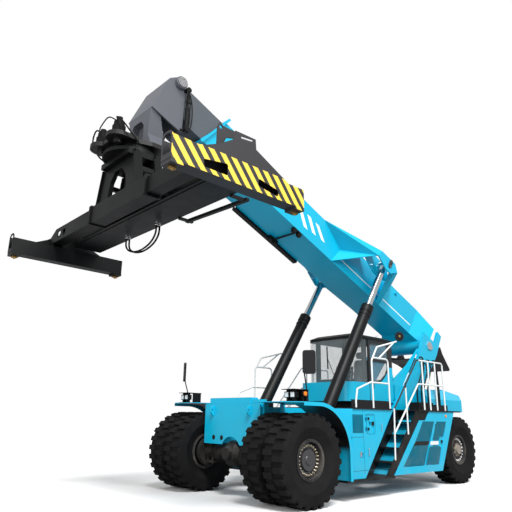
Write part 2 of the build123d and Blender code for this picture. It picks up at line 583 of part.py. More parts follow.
# leaning front web with its U notch, and a lower web behind, between the arms
W = TOWER_IN + 5
web_plane = Plane(origin=(tower_x(RAIL_Z1) - 6, 0, RAIL_Z1), x_dir=(0, 1, 0), z_dir=(cos(LEAN), 0, sin(LEAN)))
tower += web_plane * extrude(outline(
    [(-W, 36), (W, 36), (W, 2290), (TOWER_IN - 25, 2290), (TOWER_IN - 150, 1640), (TOWER_IN - 380, 1120),
     (-TOWER_IN + 380, 1120), (-TOWER_IN + 150, 1640), (-TOWER_IN + 25, 2290), (-W, 2290)],
    [1, 1, 1, 1, 250, 200, 200, 250, 1, 1]), -40)
back_plane = Plane(origin=(-5370, 0, RAIL_Z1), x_dir=(0, 1, 0), z_dir=(cos(LEAN), 0, sin(LEAN)))
tower += back_plane * extrude(outline([(-W, 8), (W, 8), (W, 930), (-W, 930)]), 40)
keep("tower", tower)
pin = rod((PIVOT_X, -TOWER_OUT - 12, PIVOT_Z), (PIVOT_X, TOWER_OUT + 12, PIVOT_Z), PIVOT_PIN_R)
for sgn in (1, -1):
    # columns: x and z from the pin's middle
    pin += prism("y", [(PIVOT_X + x, PIVOT_Z + z) for x, z in
                       ((-150, -70), (-40, -125), (110, -110), (150, 0), (60, 120), (-60, 100))],
                 sgn * (TOWER_OUT + SEAT), sgn * (TOWER_OUT + 30))
keep("boom_pivot_pin", pin)

# ---------------------------------------------------------------- boom
print("boom")
outer = boom_prism([(BOOM_KNEE_B, BOOM_H0), (BOOM_END_B, BOOM_H0), (BOOM_END_T, BOOM_H1), (BOOM_KNEE_T, BOOM_H1)],
                   -BOOM_HALF, BOOM_HALF)
outer -= boom_prism([(INNER_S0 - 300, BOOM_H0 + BOOM_WALL), (BOOM_END_B + 90, BOOM_H0 + BOOM_WALL),
                     (BOOM_END_B + 90, BOOM_H1 - BOOM_WALL), (INNER_S0 - 300, BOOM_H1 - BOOM_WALL)],
                    -BOOM_HALF + BOOM_WALL, BOOM_HALF - BOOM_WALL)


def boom_section(pt, pb, half):
    """A four-sided wire across the boom, from (s, h) top to (s, h) bottom."""
    return Wire.make_polygon([Vector(*on_boom(*pt, half)), Vector(*on_boom(*pt, -half)),
                              Vector(*on_boom(*pb, -half)), Vector(*on_boom(*pb, half))], close=True)


knee = Solid.make_loft([boom_section((BOOM_KNEE_T, BOOM_H1), (BOOM_KNEE_B, BOOM_H0), BOOM_HALF),
                        boom_section((-250, 700), (-40, -60), FLARE_HALF)], ruled=True)
outer += knee
root = rod((PIVOT_X, -FLARE_HALF - 19.7, PIVOT_Z), (PIVOT_X, FLARE_HALF + 19.7, PIVOT_Z), 215)
outer += root
outer -= rod((PIVOT_X, -1000, PIVOT_Z), (PIVOT_X, 1000, PIVOT_Z), PIVOT_PIN_R + RUN)
# front collar
COLLAR = [(BOOM_END_B, BOOM_H0 - 60), (BOOM_END_B - 60, BOOM_H0 - 60), (BOOM_END_T - 60, BOOM_H1 + 130),
          (BOOM_END_T, BOOM_H1 + 130)]
collar = boom_prism(COLLAR, -BOOM_HALF - 50, BOOM_HALF + 50)
collar -= boom_box(BOOM_END_T - 200, BOOM_END_B + 200, -BOOM_HALF, BOOM_HALF, BOOM_H0, BOOM_H1)
outer += collar
keep("outer_boom", outer)

# lugs for the lift cylinders: an ear on folded plates, with an open recess below
IN, OUT = BOOM_HALF, EAR_Y1
# columns: s, h, y of the corners; the upper fold and the apron meet in the groove
GROOVE, EAR_TIP = (4030, 725, IN), (3390, 775, OUT)
UPPER = [(4870, BOOM_H1, IN), GROOVE, (3400, 725, IN), (3330, BOOM_H1, IN), (3300, 985, OUT), EAR_TIP]
APRON = [GROOVE, (4244, BOOM_H0, IN), EAR_TIP]
APRON_T, APRON_LAP = 24, 30     # its plate, and how far it runs up behind the fold
REAR = [(1700, 1050, IN), (2030, BOOM_H0, IN), (2190, BOOM_H0, IN), (1860, 1050, IN),
        (2510, 800, OUT), (2680, 995, OUT), (2600, 800, OUT), (2770, 995, OUT)]
POCKET = 0.93
lugs = hull([on_boom(*p) for p in UPPER])
# the pocket follows the folded plate and is open below and to the rear


def shrink(p):
    about = (3300, 640, IN - 60)
    return [q + (c - q) * POCKET for c, q in zip(p, about)]


lugs -= hull([on_boom(*shrink(p)) for p in UPPER])
groove, foot, tip = (Vector(*p) for p in APRON)
inward = (foot - groove).cross(tip - groove).normalized()
up = inward.cross(tip - groove).normalized()
apron = hull([on_boom(*(p + inward * t)) for p in (groove + up * APRON_LAP, foot, tip + up * APRON_LAP) for t in (0, APRON_T)])
lugs += apron - boom_box(3000, 5000, 0, IN, 0, 1500)
lugs += hull([on_boom(*p) for p in REAR])
lugs += boom_prism([(3390, 775), (3300, 985), (2700, 995), (2530, 800), (2780, 610), (2990, 600)], EAR_Y0, EAR_Y1)
lugs += boom_prism([(3470, 760), (3430, 1060), (2560, 1060), (2330, 700), (2700, 560), (3050, 560)], CHEEK_Y0, CHEEK_Y1, 60)
lugs += boom_prism([(2990, 800), (2930, 900), (2840, 900), (2790, 830), (2850, 750), (2940, 750)], EAR_Y1 - 5, EAR_Y1 + 22)
# room for the cylinder between its parked line and its line with the boom lowered
PIN_SH = (LIFT_S, LIFT_H)
low_line, parked_line = radians(-55.5), radians(-80.1)
lx, lh, px_, ph = cos(low_line), sin(low_line), cos(parked_line), sin(parked_line)
FAN = [(LIFT_S + 280 * lx - 174 * lh, LIFT_H + 280 * lh + 174 * lx), (LIFT_S + 3000 * lx - 174 * lh, LIFT_H + 3000 * lh + 174 * lx),
       (LIFT_S + 3000 * px_ + 105 * ph, LIFT_H + 3000 * ph - 105 * px_), (LIFT_S + 105 * ph, LIFT_H - 105 * px_)]
lugs -= boom_prism(FAN, LIFT_Y - 166, LIFT_Y + 166)
keep("boom_lugs", both(lugs))
# lamps under the boom's lower corners, joined by a bar
lamps = boom_prism([(5560, BOOM_H0 - 65), (5590, BOOM_H0 - 65), (5590, BOOM_H0 - 25), (5560, BOOM_H0 - 25)], -400, 400)
for sgn in (1, -1):
    for s in (5430, 5620):
        lamps += boom_prism([(s, BOOM_H0 - 115), (s + 100, BOOM_H0 - 115), (s + 120, BOOM_H0 - 25), (s, BOOM_H0 - 25)],
                            sgn * 370, sgn * 465, 12)
    lamps += boom_box(5440, 5740, sgn * 380, sgn * 465, BOOM_H0 - 35, BOOM_H0 - SEAT)
keep("boom_lamps", lamps)

tray = boom_box(4550, 6950, -BOOM_HALF - 130, -BOOM_HALF, BOOM_H0 - 60, BOOM_H0 + 60)
tray -= boom_box(4500, 7000, -BOOM_HALF - 118, -BOOM_HALF - 12, BOOM_H0 - 40, BOOM_H0 + 80)
keep("hose_tray", tray)

# ---------------------------------------------------------------- inner boom
pin_s = (HEAD_X - PIVOT_X) * cos(radians(LUFF)) + (HEAD_Z - PIVOT_Z) * sin(radians(LUFF))
pin_h = -(HEAD_X - PIVOT_X) * sin(radians(LUFF)) + (HEAD_Z - PIVOT_Z) * cos(radians(LUFF))
NOSE = pin_s - 46        # end of the tube, short of the pin
inner = boom_prism([(INNER_S0, INNER_H0), (NOSE - 550, INNER_H0), (NOSE, 640), (NOSE, INNER_H1), (INNER_S0, INNER_H1)],
                   -INNER_HALF, INNER_HALF)
inner -= boom_prism([(INNER_S0 - 10, INNER_H0 + 12), (NOSE - 570, INNER_H0 + 12), (NOSE - 400, 700), (NOSE - 400, INNER_H1 - 12),
                     (INNER_S0 - 10, INNER_H1 - 12)], -INNER_HALF + 12, INNER_HALF - 12)
for sgn in (1, -1):
    inner += rod((HEAD_X, sgn * 250, HEAD_Z), (HEAD_X, sgn * (HANGER_Y0 - SEAT), HEAD_Z), 150)
    # columns: s and h of the pin's cheek, its front from the pin's middle
    inner += boom_prism([(NOSE - 200, INNER_H1), (NOSE - 200, 700), (pin_s - 66, pin_h - 330), (pin_s + 74, pin_h - 150),
                         (pin_s + 134, pin_h + 10), (pin_s + 14, pin_h + 150)], sgn * 300, sgn * INNER_HALF)
inner -= rod((HEAD_X, -600, HEAD_Z), (HEAD_X, 600, HEAD_Z), HEAD_PIN_R + RUN)
# slide pads that guide the inner boom
for s in (INNER_S0 + 150, 8100):
    for sgn in (1, -1):
        inner += boom_box(s, s + 220, sgn * (INNER_HALF - 5), sgn * (BOOM_HALF - BOOM_WALL - 1), 500, 800) if s < 3000 else Part()
    if s < 3000:
        inner += boom_box(s, s + 220, -200, 200, INNER_H1 - 5, BOOM_H1 - BOOM_WALL - 1)
keep("inner_boom", inner)

# ---------------------------------------------------------------- lift cylinders
print("lift cylinders")
for side, sgn in (("left", 1), ("right", -1)):
    def at(t):
        p = LIFT_BASE + LIFT_UP * t
        return (p.X, LIFT_Y, p.Z)
    top = LIFT_LEN - COLLAR_FROM_PIN
    barrel = rod(at(265), at(top), BARREL_R)
    barrel += rod(at(100), at(266), 96)
    barrel += rod(at(top - 200), at(top), COLLAR_R)
    barrel += rod(at(top - 330), at(top - 290), COLLAR_R)
    barrel += rod((BX, LIFT_Y - EYE_HALF - 19.4, LIFT_BASE_Z), (BX, LIFT_Y + EYE_HALF + 19.4, LIFT_BASE_Z), 165)
    barrel -= rod((BX, LIFT_Y - 200, LIFT_BASE_Z), (BX, LIFT_Y + 200, LIFT_BASE_Z), 70 + RUN)
    barrel -= rod(at(300), at(top + 10), ROD_R + 6)
    barrel += rod(at(top - 120), at(top), COLLAR_R - 10) - rod(at(top - 130), at(top + 10), ROD_R + RUN)
    keep(f"lift_barrel_{side}", barrel if sgn > 0 else mirror(barrel, Plane.XZ))
    piston = rod(at(LIFT_LEN - 3760), at(LIFT_LEN - EYE_R + 30), ROD_R)
    piston += rod(at(LIFT_LEN - 3760), at(LIFT_LEN - 3680), ROD_R + 5.7)
    piston += rod((LIFT_PIN.X, LIFT_Y - EYE_HALF, LIFT_PIN.Z), (LIFT_PIN.X, LIFT_Y + EYE_HALF, LIFT_PIN.Z), EYE_R)
    piston += rod((LIFT_PIN.X, CHEEK_Y1 + 5.5, LIFT_PIN.Z), (LIFT_PIN.X, EAR_Y0 - 5.5, LIFT_PIN.Z), LIFT_PIN_R)
    keep(f"lift_rod_{side}", piston if sgn > 0 else mirror(piston, Plane.XZ))

# ---------------------------------------------------------------- rotator head
print("head")
# columns: x, z of the side plate
HANG = [(2340, HEAD_Z + 150), (2235, HEAD_Z + 140), (2150, HEAD_Z - 120), (2185, 7310), (2450, 7410), (2930, 7620),
        (2560, HEAD_Z + 20)]
head = Part()
for sgn in (1, -1):
    head += prism("y", HANG, sgn * HANGER_Y0, sgn * HANGER_Y1)
    head += rod((HEAD_X, sgn * HANGER_Y0, HEAD_Z), (HEAD_X, sgn * 560, HEAD_Z), 140)
head -= rod((HEAD_X, -700, HEAD_Z), (HEAD_X, 700, HEAD_Z), HEAD_PIN_R + RUN)
# folded cover over the front
head += plate([(2560, -HANGER_Y0, HEAD_Z + 20), (2560, HANGER_Y0, HEAD_Z + 20), (2930, HANGER_Y0, 7620), (2930, -HANGER_Y0, 7620)],
              14, (2000, 0, 7600))


def slab(z, x0, x1, half):
    return Wire.make_polygon([Vector(x0, -half, z), Vector(x1, -half, z), Vector(x1, half, z), Vector(x0, half, z)],
                             close=True)


# neck, narrowing downwards and flaring again at its foot; columns: z, rear x, front x, half width
NECK = ((7625, 2720, 2929, HANGER_Y0 + 2), (7080, 2520, 2900, 330), (6780, 2330, 2890, 470))
neck = Part()
for lo, hi in zip(NECK[1:], NECK):
    neck += Solid.make_loft([slab(*lo), slab(*hi)], ruled=True)
# access window in the lower front
neck -= prism("x", [(-300, 7010), (160, 7010), (160, 7330), (60, 7450), (-240, 7450), (-300, 7380)], 2760, 3100, 40)
head += neck
head += prism("z", [(2330, -560), (2330, 560), (2900, 560), (3180, 470), (3330, 440), (3330, -440), (3180, -470), (2900, -560)],
              6690, 6780)
for y in (MOTOR_Y, -MOTOR_Y):
    head += rod((MOTOR_X, y, 6690), (MOTOR_X, y, 6780), 230)
    head += prism("z", [(3200, y - 230), (MOTOR_X, y - 230), (MOTOR_X, y + 230), (3200, y + 230)], 6690, 6780)
head += prism("z", [(3180, -470), (MOTOR_X + 90, -MOTOR_Y + 60), (MOTOR_X + 90, MOTOR_Y - 60), (3180, 470)], 6690, 6780)
head += rod((SLEW_X, 0, 6640), (SLEW_X, 0, 6700), SLEW_R - 60)
# pinions that mesh with the ring stay just clear of its teeth
for y in (MOTOR_Y, -MOTOR_Y):
    head += rod((MOTOR_X, y, 6600), (MOTOR_X, y, 6700), 82)
    
keep("rotator_head", head)
keep("head_pin", rod((HEAD_X, -575, HEAD_Z), (HEAD_X, 575, HEAD_Z), HEAD_PIN_R)
     + rod((HEAD_X, 560.3, HEAD_Z), (HEAD_X, 590, HEAD_Z), 115)
     + rod((HEAD_X, -560.3, HEAD_Z), (HEAD_X, -590, HEAD_Z), 115))
dampers = Part()
for sgn in (1, -1):
    middle = 7380 + 0.52 * (HEAD_Z - 70 - 7380)
    dampers += rod((2110, sgn * 530, 7380), (2110, sgn * 530, middle), 45)
    dampers += rod((2110, sgn * 530, middle), (2110, sgn * 530, HEAD_Z - 70), 28)
    for z, x in ((HEAD_Z - 110, 2190), (7390, 2240)):
        dampers += rod((2110, sgn * 500, z), (2110, sgn * 575, z), 62)
        dampers += box(2110, x, sgn * (HANGER_Y1 + SEAT), sgn * 505, z - 60, z - 10)
keep("tilt_dampers", joined(dampers))
motors = Part()
for y in (MOTOR_Y, -MOTOR_Y):
    motors += rod((MOTOR_X, y, 6780.3), (MOTOR_X, y, 6960), 130)
    motors += rod((MOTOR_X, y, 6960), (MOTOR_X, y, 7060), 105)
    motors += rod((MOTOR_X, y, 7060), (MOTOR_X, y, 7160), 60)
keep("slew_motors", joined(motors))

# ---------------------------------------------------------------- rotating frame
TEETH = 60
ring_pts = []
for k in range(TEETH):
    for turn, r in ((-0.30, SLEW_R - 22), (-0.18, SLEW_R), (0.18, SLEW_R), (0.30, SLEW_R - 22)):
        a = 2 * pi * (k + turn) / TEETH
        ring_pts.append((SLEW_X + r * cos(a), r * sin(a)))
carriage = prism("z", ring_pts, 6560, 6639.7)
carriage += rod((SLEW_X, 0, 6490), (SLEW_X, 0, 6562), SLEW_R + 60)
# two arched portals down to the shoes; columns: y and z of a portal's outline, right half
PORTAL = [(620, 6495), (830, 5560), (420, 5560), (300, 6050), (140, 6240)]
for x in (3200, 2750):
    carriage += prism("x", PORTAL + [(-y, z) for y, z in reversed(PORTAL)], x, x + 90, [40, 15, 15, 120, 120, 120, 120, 15, 15, 40])
    for sgn in (1, -1):
        carriage += prism("x", [(sgn * 640, 6400), (sgn * 830, 5570), (sgn * 800, 5570), (sgn * 605, 6400)], x - 40, x + 130)
for sgn in (1, -1):
    carriage += box(2700, 3340, sgn * 425, sgn * 845, 5560, 5640)
    carriage += box(2835, 3205, sgn * 600, sgn * 680, 6040, 6130)
carriage += box(2700, 3400, -560, 560, 6380, 6495)
keep("slew_carriage", carriage)

# ---------------------------------------------------------------- spreader main frame
SX, SY = SPREADER_X, SHIFT_Y


def tube(x0, x1, z0, z1, y0, y1, wall):
    return box(x0, x1, y0, y1, z0, z1) - box(x0 + wall, x1 - wall, y0 - 5, y1 + 5, z0 + wall, z1 - wall)


spread = prism("y", REAR_TUBE, SY - REAR_TUBE_HALF, SY + REAR_TUBE_HALF)
x0, x1, z0, z1 = REAR_HOLLOW
spread -= box(x0, x1, SY - REAR_TUBE_HALF - 5, SY + REAR_TUBE_HALF + 5, z0, z1)
spread -= prism("y", [(2650, 5064), (x0 - 14, 5064), (x0 - 14, 5330), (2650, 5100)], SY - REAR_TUBE_HALF - 5, SY + REAR_TUBE_HALF + 5)
spread += tube(*FRONT_TUBE, SY - FRONT_TUBE_HALF, SY + FRONT_TUBE_HALF, 14)
REAR_X1 = REAR_TUBE[1][0]
x0, x1, z0, z1 = FRONT_TUBE
for sgn in (1, -1):
    y = SY + sgn * FRONT_TUBE_HALF
    collar = prism("y", [(x0 - 25, z0 - 25), (x1 + 30, z0 - 25), (x1 + 30, z1 + 30), (x0 - 25, z1 + 30)], y - 25, y + 25, 30)
    collar -= prism("y", [(x0 + 14, z0 + 14), (x1 - 14, z0 + 14), (x1 - 14, z1 - 14), (x0 + 14, z1 - 14)], y - 30, y + 30)
    spread += collar
    spread += box(REAR_X1 - 10, x0 + 5, y - sgn * 20, y - sgn * 260, 5120, 5330)
spread += box(REAR_X1 - 10, x0 + 5, SY - 200, SY + 200, 5120, 5330)
# wear rings that the inner beams slide in
for (x0, x1, z0, z1), mouths in ((LEFT_BEAM, (SY + REAR_TUBE_HALF - 130,)),
                                 (RIGHT_BEAM, (SY - FRONT_TUBE_HALF + 10, SY + FRONT_TUBE_HALF - 130))):
    for y in mouths:
        spread += box(x0 - 17, x1 + 17, y, y + 120, z0 - 17, z1 + 17) \
            - box(x0 - SEAT, x1 + SEAT, y - 5, y + 125, z0 - SEAT, z1 + SEAT)
# ledge along the lower front edge of the rear tube
spread += box(REAR_X1 - 5, REAR_X1 + 70, SY - REAR_TUBE_HALF + 150, SY + REAR_TUBE_HALF - 150, 5062, 5090)
# slide way: two rails that the carriage's shoes run on
for x0, x1, z0 in ((2730, 2870, 5110), (3180, 3320, 5340)):
    spread += box(x0, x1, SY - SLIDE_HALF, SY + SLIDE_HALF, z0, RAIL_TOP)
for y in (SY - SLIDE_HALF, SY, SY + SLIDE_HALF - 60):
    spread += box(2860, 3190, y, y + 60, 5340, RAIL_TOP - 60)
# cylinder that pushes the left end out, clamped beside the rear tube
spread += rod((REAR_X1 + 90, SY - 1400, 5250), (REAR_X1 + 90, SY - 700, 5250), 52)
spread += rod((REAR_X1 + 90, SY - 700, 5250), (REAR_X1 + 90, SY - 450, 5250), 30)
for y in (SY - 1380, SY - 760, SY - 480):
    spread += box(REAR_X1 - 5, REAR_X1 + 150, y, y + 40, 5185, 5315)
keep("spreader_frame", spread)

# ---------------------------------------------------------------- telescopic ends
# columns: x from the middle of the spreader, z, of the outer skin plate
SKIN = [(END_HALF, END_Z0), (END_HALF, END_Z1), (800, END_Z1 - 5), (680, 5055), (470, 5150), (225, 5310), (185, 5465),
        (-200, 5470), (-215, 5310), (-890, 4985), (-END_HALF, 4985), (-END_HALF, END_Z0)]
HOLES = ([(720, 4835), (300, 4900), (300, 4725), (700, 4725)], [(-270, 4870), (-680, 4800), (-660, 4700), (-270, 4755)])
for side, sgn in (("left", 1), ("right", -1)):
    ye = SY + sgn * TWIST_Y
    skin_y = ye + sgn * 110
    x0, x1, z0, z1 = LEFT_BEAM if sgn > 0 else RIGHT_BEAM
    # one long inner beam runs in the tube of its side
    end = tube(x0, x1, z0, z1, min(skin_y, skin_y - sgn * 5500), max(skin_y, skin_y - sgn * 5500), 12)
    if sgn < 0:
        # the far beam tapers towards its end and has two cut-outs there
        end -= prism("x", [(skin_y - 10, 5150), (skin_y + 300, z1), (skin_y + 300, z1 + 20), (skin_y - 10, z1 + 20)], x0 - 10, x1 + 10)
        for y in (skin_y + 420, skin_y + 660):
            end -= prism("x", [(y, 5110), (y + 130, 5110), (y + 130, 5240), (y, 5240)], x0 - 10, x1 + 10, 30)
    end += box(SX - END_HALF, SX + END_HALF, ye - 100, ye + 100, END_Z0, END_Z0 + 14)
    end += box(SX - END_HALF, SX + END_HALF, ye - sgn * 86, ye - sgn * 100, END_Z0, 4985)
    end += box(SX - END_HALF, SX + 800, ye - 100, ye + 100, 4971, 4985)
    skin = prism("y", [(SX + x, z) for x, z in SKIN], skin_y - sgn * 14, skin_y)
    skin -= prism("y", [(SX + 80, 5385), (SX - 145, 5410), (SX - 145, 5440), (SX + 80, 5415)], skin_y - 30, skin_y + 30)
    for hole in HOLES:
        skin -= prism("y", [(SX + x, z) for x, z in hole], skin_y - 30, skin_y + 30, 28)
    end += skin
    # lower flange and the corner housings
    end += box(SX - END_HALF + 30, SX + END_HALF - 30, ye - sgn * 115, skin_y + sgn * 5, END_Z0 - 24, END_Z0 + 2)
    for sx in (1, -1):
        cx = SX + sx * TWIST_X
        end += box(cx - 95, cx + 95, ye - 118, ye + 118, END_Z0 - 60, END_Z0)
        end -= rod((cx, ye, END_Z0 - 80), (cx, ye, END_Z0 + 80), 30.3)
    # arched guide plate over the front corner
    arch = prism("x", [(ye - 118, END_Z0), (ye + 118, END_Z0), (ye + 118, END_Z1), (ye + 60, END_Z1 + 62),
                       (ye - 60, END_Z1 + 62), (ye - 118, END_Z1)], SX + END_HALF - 16, SX + END_HALF, [1, 1, 40, 60, 60, 40])
    arch -= prism("x", [(ye - 88, END_Z0 + 80), (ye + 88, END_Z0 + 80), (ye + 88, END_Z1 - 20), (ye + 45, END_Z1 + 30),
                        (ye - 45, END_Z1 + 30), (ye - 88, END_Z1 - 20)], SX + END_HALF - 30, SX + END_HALF + 20, [1, 1, 30, 45, 45, 30])
    end += arch
    # gussets that tie the inner beam to the end beam
    for x in (x0 + 8, x1 - 28):
        end += prism("x", [(ye - sgn * 90, 4980), (skin_y - sgn * 5, 4980), (skin_y - sgn * 5, z0 + 40), (ye - sgn * 90, z0 + 40)], x, x + 20)
    if sgn > 0:
        # lashing plate on top of the near end
        end += prism("y", [(x + 270, z) for x, z in ((3350, 4980), (3350, 5560), (3310, 5640), (3240, 5600), (3030, 5600), (3000, 5490),
                                                     (3180, 5440), (3230, 5330), (3230, 4980))], 3590, 3612) \
            - rod((3555, 3500, 5570), (3555, 3700, 5570), 32)
    keep(f"spreader_end_{side}", end)
    locks = Part()
    for sx in (1, -1):
        x = SX + sx * TWIST_X
        locks += rod((x, ye, TWIST_Z + 50), (x, ye, END_Z0 + 60), 30)
        locks += box(x - 50, x + 50, ye - 30, ye + 30, TWIST_Z + 22, TWIST_Z + 56)
        locks += rod((x, ye, TWIST_Z), (x, ye, TWIST_Z + 23), 8, 28)
    keep(f"twistlocks_{side}", joined(locks))

# ---------------------------------------------------------------- cab
print("cab")
CAB_X0, CAB_X1, CAB_HALF = -4750, -3060, 800
CAB_Z0, CAB_SILL, CAB_TOP = 1980, 2440, 3660
keep("cab_base", box(-4400, -3000, -700, 700, DZ, CAB_Z0))
lower = prism("z", [(CAB_X0 - 250, -850), (-2800, -850), (-2800, 850), (CAB_X0 - 250, 850)], CAB_Z0, CAB_SILL, [40, 260, 260, 40])
lower -= prism("z", [(CAB_X0 - 240, -CAB_HALF + 40), (CAB_X1 - 60, -CAB_HALF + 40), (CAB_X1 - 60, CAB_HALF - 40),
                     (CAB_X0 - 240, CAB_HALF - 40)], CAB_Z0 + 40, CAB_SILL + 10)
lower -= prism("y", [(tower_x(1900, -4435), 1900), (tower_x(2600, -4435), 2600), (-5600, 2600), (-5600, 1900)], -900, 900)
lower += box(-4590, -4550, -790, 790, CAB_Z0, CAB_SILL)
# the door's place in the left side
lower -= box(-4660, -3565, CAB_HALF - 2, 860, CAB_Z0 + 20, CAB_SILL + 10)
keep("cab_lower_body", lower)


def cab_plan(inset):
    return [(CAB_X0 + inset, -CAB_HALF + inset), (CAB_X1 - inset, -CAB_HALF + inset), (CAB_X1 - inset, CAB_HALF - inset),
            (CAB_X0 + inset, CAB_HALF - inset)]


GLASS_TOP = 3520
top_frame = prism("z", cab_plan(0), GLASS_TOP, 3590, [60, 250, 250, 60])
top_frame += loft([Pos(0, 0, 3590) * outline(cab_plan(0), [60, 250, 250, 60]),
                   Pos(0, 0, CAB_TOP) * outline(cab_plan(150), [60, 200, 200, 60])], ruled=True)
for sgn in (1, -1):
    top_frame += prism("z", [(CAB_X0 + 29, sgn * (CAB_HALF - 12.3)), (CAB_X0 + 185, sgn * (CAB_HALF - 12.3)),
                             (CAB_X0 + 185, sgn * (CAB_HALF - 110)), (CAB_X0 + 29, sgn * (CAB_HALF - 110))],
                       CAB_SILL + SEAT, 3525, [46, 1, 1, 1])
    top_frame += box(-3570, -3430, sgn * (CAB_HALF - 70), sgn * (CAB_HALF - 12.3), CAB_SILL + SEAT, 3525)
HINGE = (-4624, CAB_HALF + 26)
for z in (2600, 3300):
    top_frame += rod((*HINGE, z - 60), (*HINGE, z - SEAT), 16)
    top_frame += box(HINGE[0] - 14, HINGE[0] + 14, CAB_HALF - 20, HINGE[1], z - 60, z - SEAT)
keep("cab_frame", top_frame)
# glass all round, open at the door
glass = prism("z", cab_plan(4), CAB_SILL + SEAT, GLASS_TOP - SEAT, [56, 246, 246, 56]) \
    - prism("z", cab_plan(12), CAB_SILL - 10, GLASS_TOP + 10, [48, 238, 238, 48])
glass -= box(CAB_X0 - 10, -3560, CAB_HALF - 110, CAB_HALF + 10, CAB_SILL - 10, GLASS_TOP + 10)
keep("cab_glass", glass)
seat = box(-4350, -3850, -260, 260, 2350, 2520) + box(-4450, -4330, -250, 250, 2500, 3150) \
    + box(-4300, -3950, -180, 180, CAB_Z0 + 40.3, 2355) + box(-4445, -4345, -150, 150, 3140, 3330)
keep("driver_seat", seat)
console = box(-3400, -3200, -560, 560, CAB_Z0 + 40.3, 2540)
console += rod((-3380, 0, 2500), (-3600, 0, 2760), 40)
console += rod((-3590, 0, 2745), (-3615, 0, 2775), 200)
keep("steering_console", console)
# the door's outline and its two panes; columns: x, z
DOOR = [(-3575, 2012), (-3575, 3505), (-4600, 3505), (-4600, 2130), (-4500, 2012)]
PANES = ([(-3650, 3440), (-4440, 3440), (-4440, 3045), (-3650, 3045)],
         [(-3650, 2975), (-4440, 2975), (-4440, 2900), (-4300, 2680), (-4100, 2540), (-3900, 2500), (-3650, 2500)])
door = prism("y", DOOR, CAB_HALF + 5.3, CAB_HALF + 45)
for pane in PANES:
    door -= prism("y", pane, CAB_HALF - 10, CAB_HALF + 60)
    door += prism("y", pane, CAB_HALF + 20, CAB_HALF + 26)
for z in (2600, 3300):
    door += rod((*HINGE, z), (*HINGE, z + 90), 16) + box(HINGE[0], -4595, HINGE[1] - 12, HINGE[1] + 12, z, z + 90)
keep("cab_door", door)

# ---------------------------------------------------------------- mirrors and lamps on the front fenders
print("mirrors and lamps")
AIM = Vector(-3600, 0, 2700)     # where the driver sits
mirror_at = Vector(0, 2050, 2600)
look = Vector(AIM.X - mirror_at.X, AIM.Y - mirror_at.Y, 0).normalized()
glass_plane = Plane(origin=mirror_at, x_dir=Vector(-look.Y, look.X, 0), z_dir=look)
panel = glass_plane * extrude(RectangleRounded(250, 450, 50), 22, both=True)
ARM = ((-60, 1935, FENDER_TOP + SEAT), (-60, 1935, 2060), (25, 1960, 2330), (60, 1960, 2480), (60, 1960, 2700), (10, 2030, 2700))
panel += tube_path(ARM, 13, 40)
panel += rod((-60, 1935, FENDER_TOP + SEAT), (-60, 1935, FENDER_TOP + 14), 45)
keep("mirrors", both(panel))
# twin lamps in a bracket with a roof plate
lamp = box(-160, 240, 1560, 1880, FENDER_TOP + SEAT, FENDER_TOP + 16)
lamp += box(-160, 60, 1560, 1572, FENDER_TOP + 10, 2085)
lamp += box(-170, 250, 1550, 1890, 2085, 2097)
lamp += box(-160, -148, 1560, 1880, FENDER_TOP + 10, 2090)
for y in (1585, 1740):
    lamp += prism("x", [(y, 1935), (y + 120, 1935), (y + 120, 2050), (y, 2050)], 90, 205, 15)
    lamp += box(100, 190, y + 45, y + 75, FENDER_TOP + 10, 2090)
lamp += rod((20, 1905, 2010), (20, 1960, 2010), 48) + box(0, 40, 1875, 1910, FENDER_TOP + 10, 2030)
lamp += box(0, 40, 1860, 1910, FENDER_TOP + SEAT, FENDER_TOP + 16)
keep("work_lamps", both(lamp))

# ---------------------------------------------------------------- chute and hoses behind the pivot
print("hoses")
CHUTE = [(-6700, 3420), (-7200, 3440), (-7455, 3705), (-7560, 3500), (-7925, 3075), (-7890, 3020), (-7220, 3230), (-6700, 3330)]
guard = prism("y", CHUTE, 640, 700) + prism("y", CHUTE, -700, -640)
guard += prism("y", [(-6700, 3330), (-7220, 3230), (-7890, 3020), (-7895, 3037), (-7223, 3247), (-6703, 3347)], -645, 645)
for sgn in (1, -1):
    guard += box(-6880, -6800, sgn * 695, sgn * (TOWER_IN - SEAT), 3345, 3420)
# hoses from the tower's side down to the deck boxes; columns: x and z at the top, then x, y and z at the foot
HOSES = ((-5850, 3190, -4850, 1390, 2000), (-5900, 3260, -5000, 1420, 2000), (-6060, 3100, -5170, 1390, 2000),
         (-6260, 3200, -5350, 1400, 2000), (-6500, 3120, -5780, 1450, 1950), (-6570, 3210, -5840, 1450, 1950))
for xt, zt, xf, yf, zf in HOSES:
    guard = joined(guard, tube_path([(xt, TOWER_OUT + SEAT, zt), (xt, TOWER_OUT + 90, zt), (xt, TOWER_OUT + 110, zt - 250),
                                     (xf, yf, zf + 330), (xf, yf, zf + SEAT)], 20, 60))
keep("rear_hose_guard", guard)
hose_radii, hose_parts = [], []
HOSE_R = 18
# points of one hose of the hanging loop under the spreader; columns: y, z
LOOP = [(-330, 5049.7), (-330, 4800), (-50, 4630), (240, 4575), (540, 4630), (790, 4800), (790, 5049.7)]
for x in (2740, 2810):
    pts = [Vector(x, y, z) for y, z in LOOP]
    radii = []
    for p, q, r in zip(pts, pts[1:], pts[2:]):
        turn = (q - p).get_angle(r - q)
        radii.append(0.45 * min((q - p).length, (r - q).length) / tan(radians(turn / 2)))
    path = FilletPolyline(*pts, radius=radii)
    hose = sweep(Plane(origin=pts[0], z_dir=(pts[1] - pts[0]).normalized()) * Circle(HOSE_R), path=path)
    print("hose radii", [round(r) for r in radii], "volume share", round(hose.volume / (pi * HOSE_R ** 2 * path.length), 4),
          "length", round(path.length))
    hose_parts.append(hose)
keep("spreader_hoses", joined(*hose_parts))

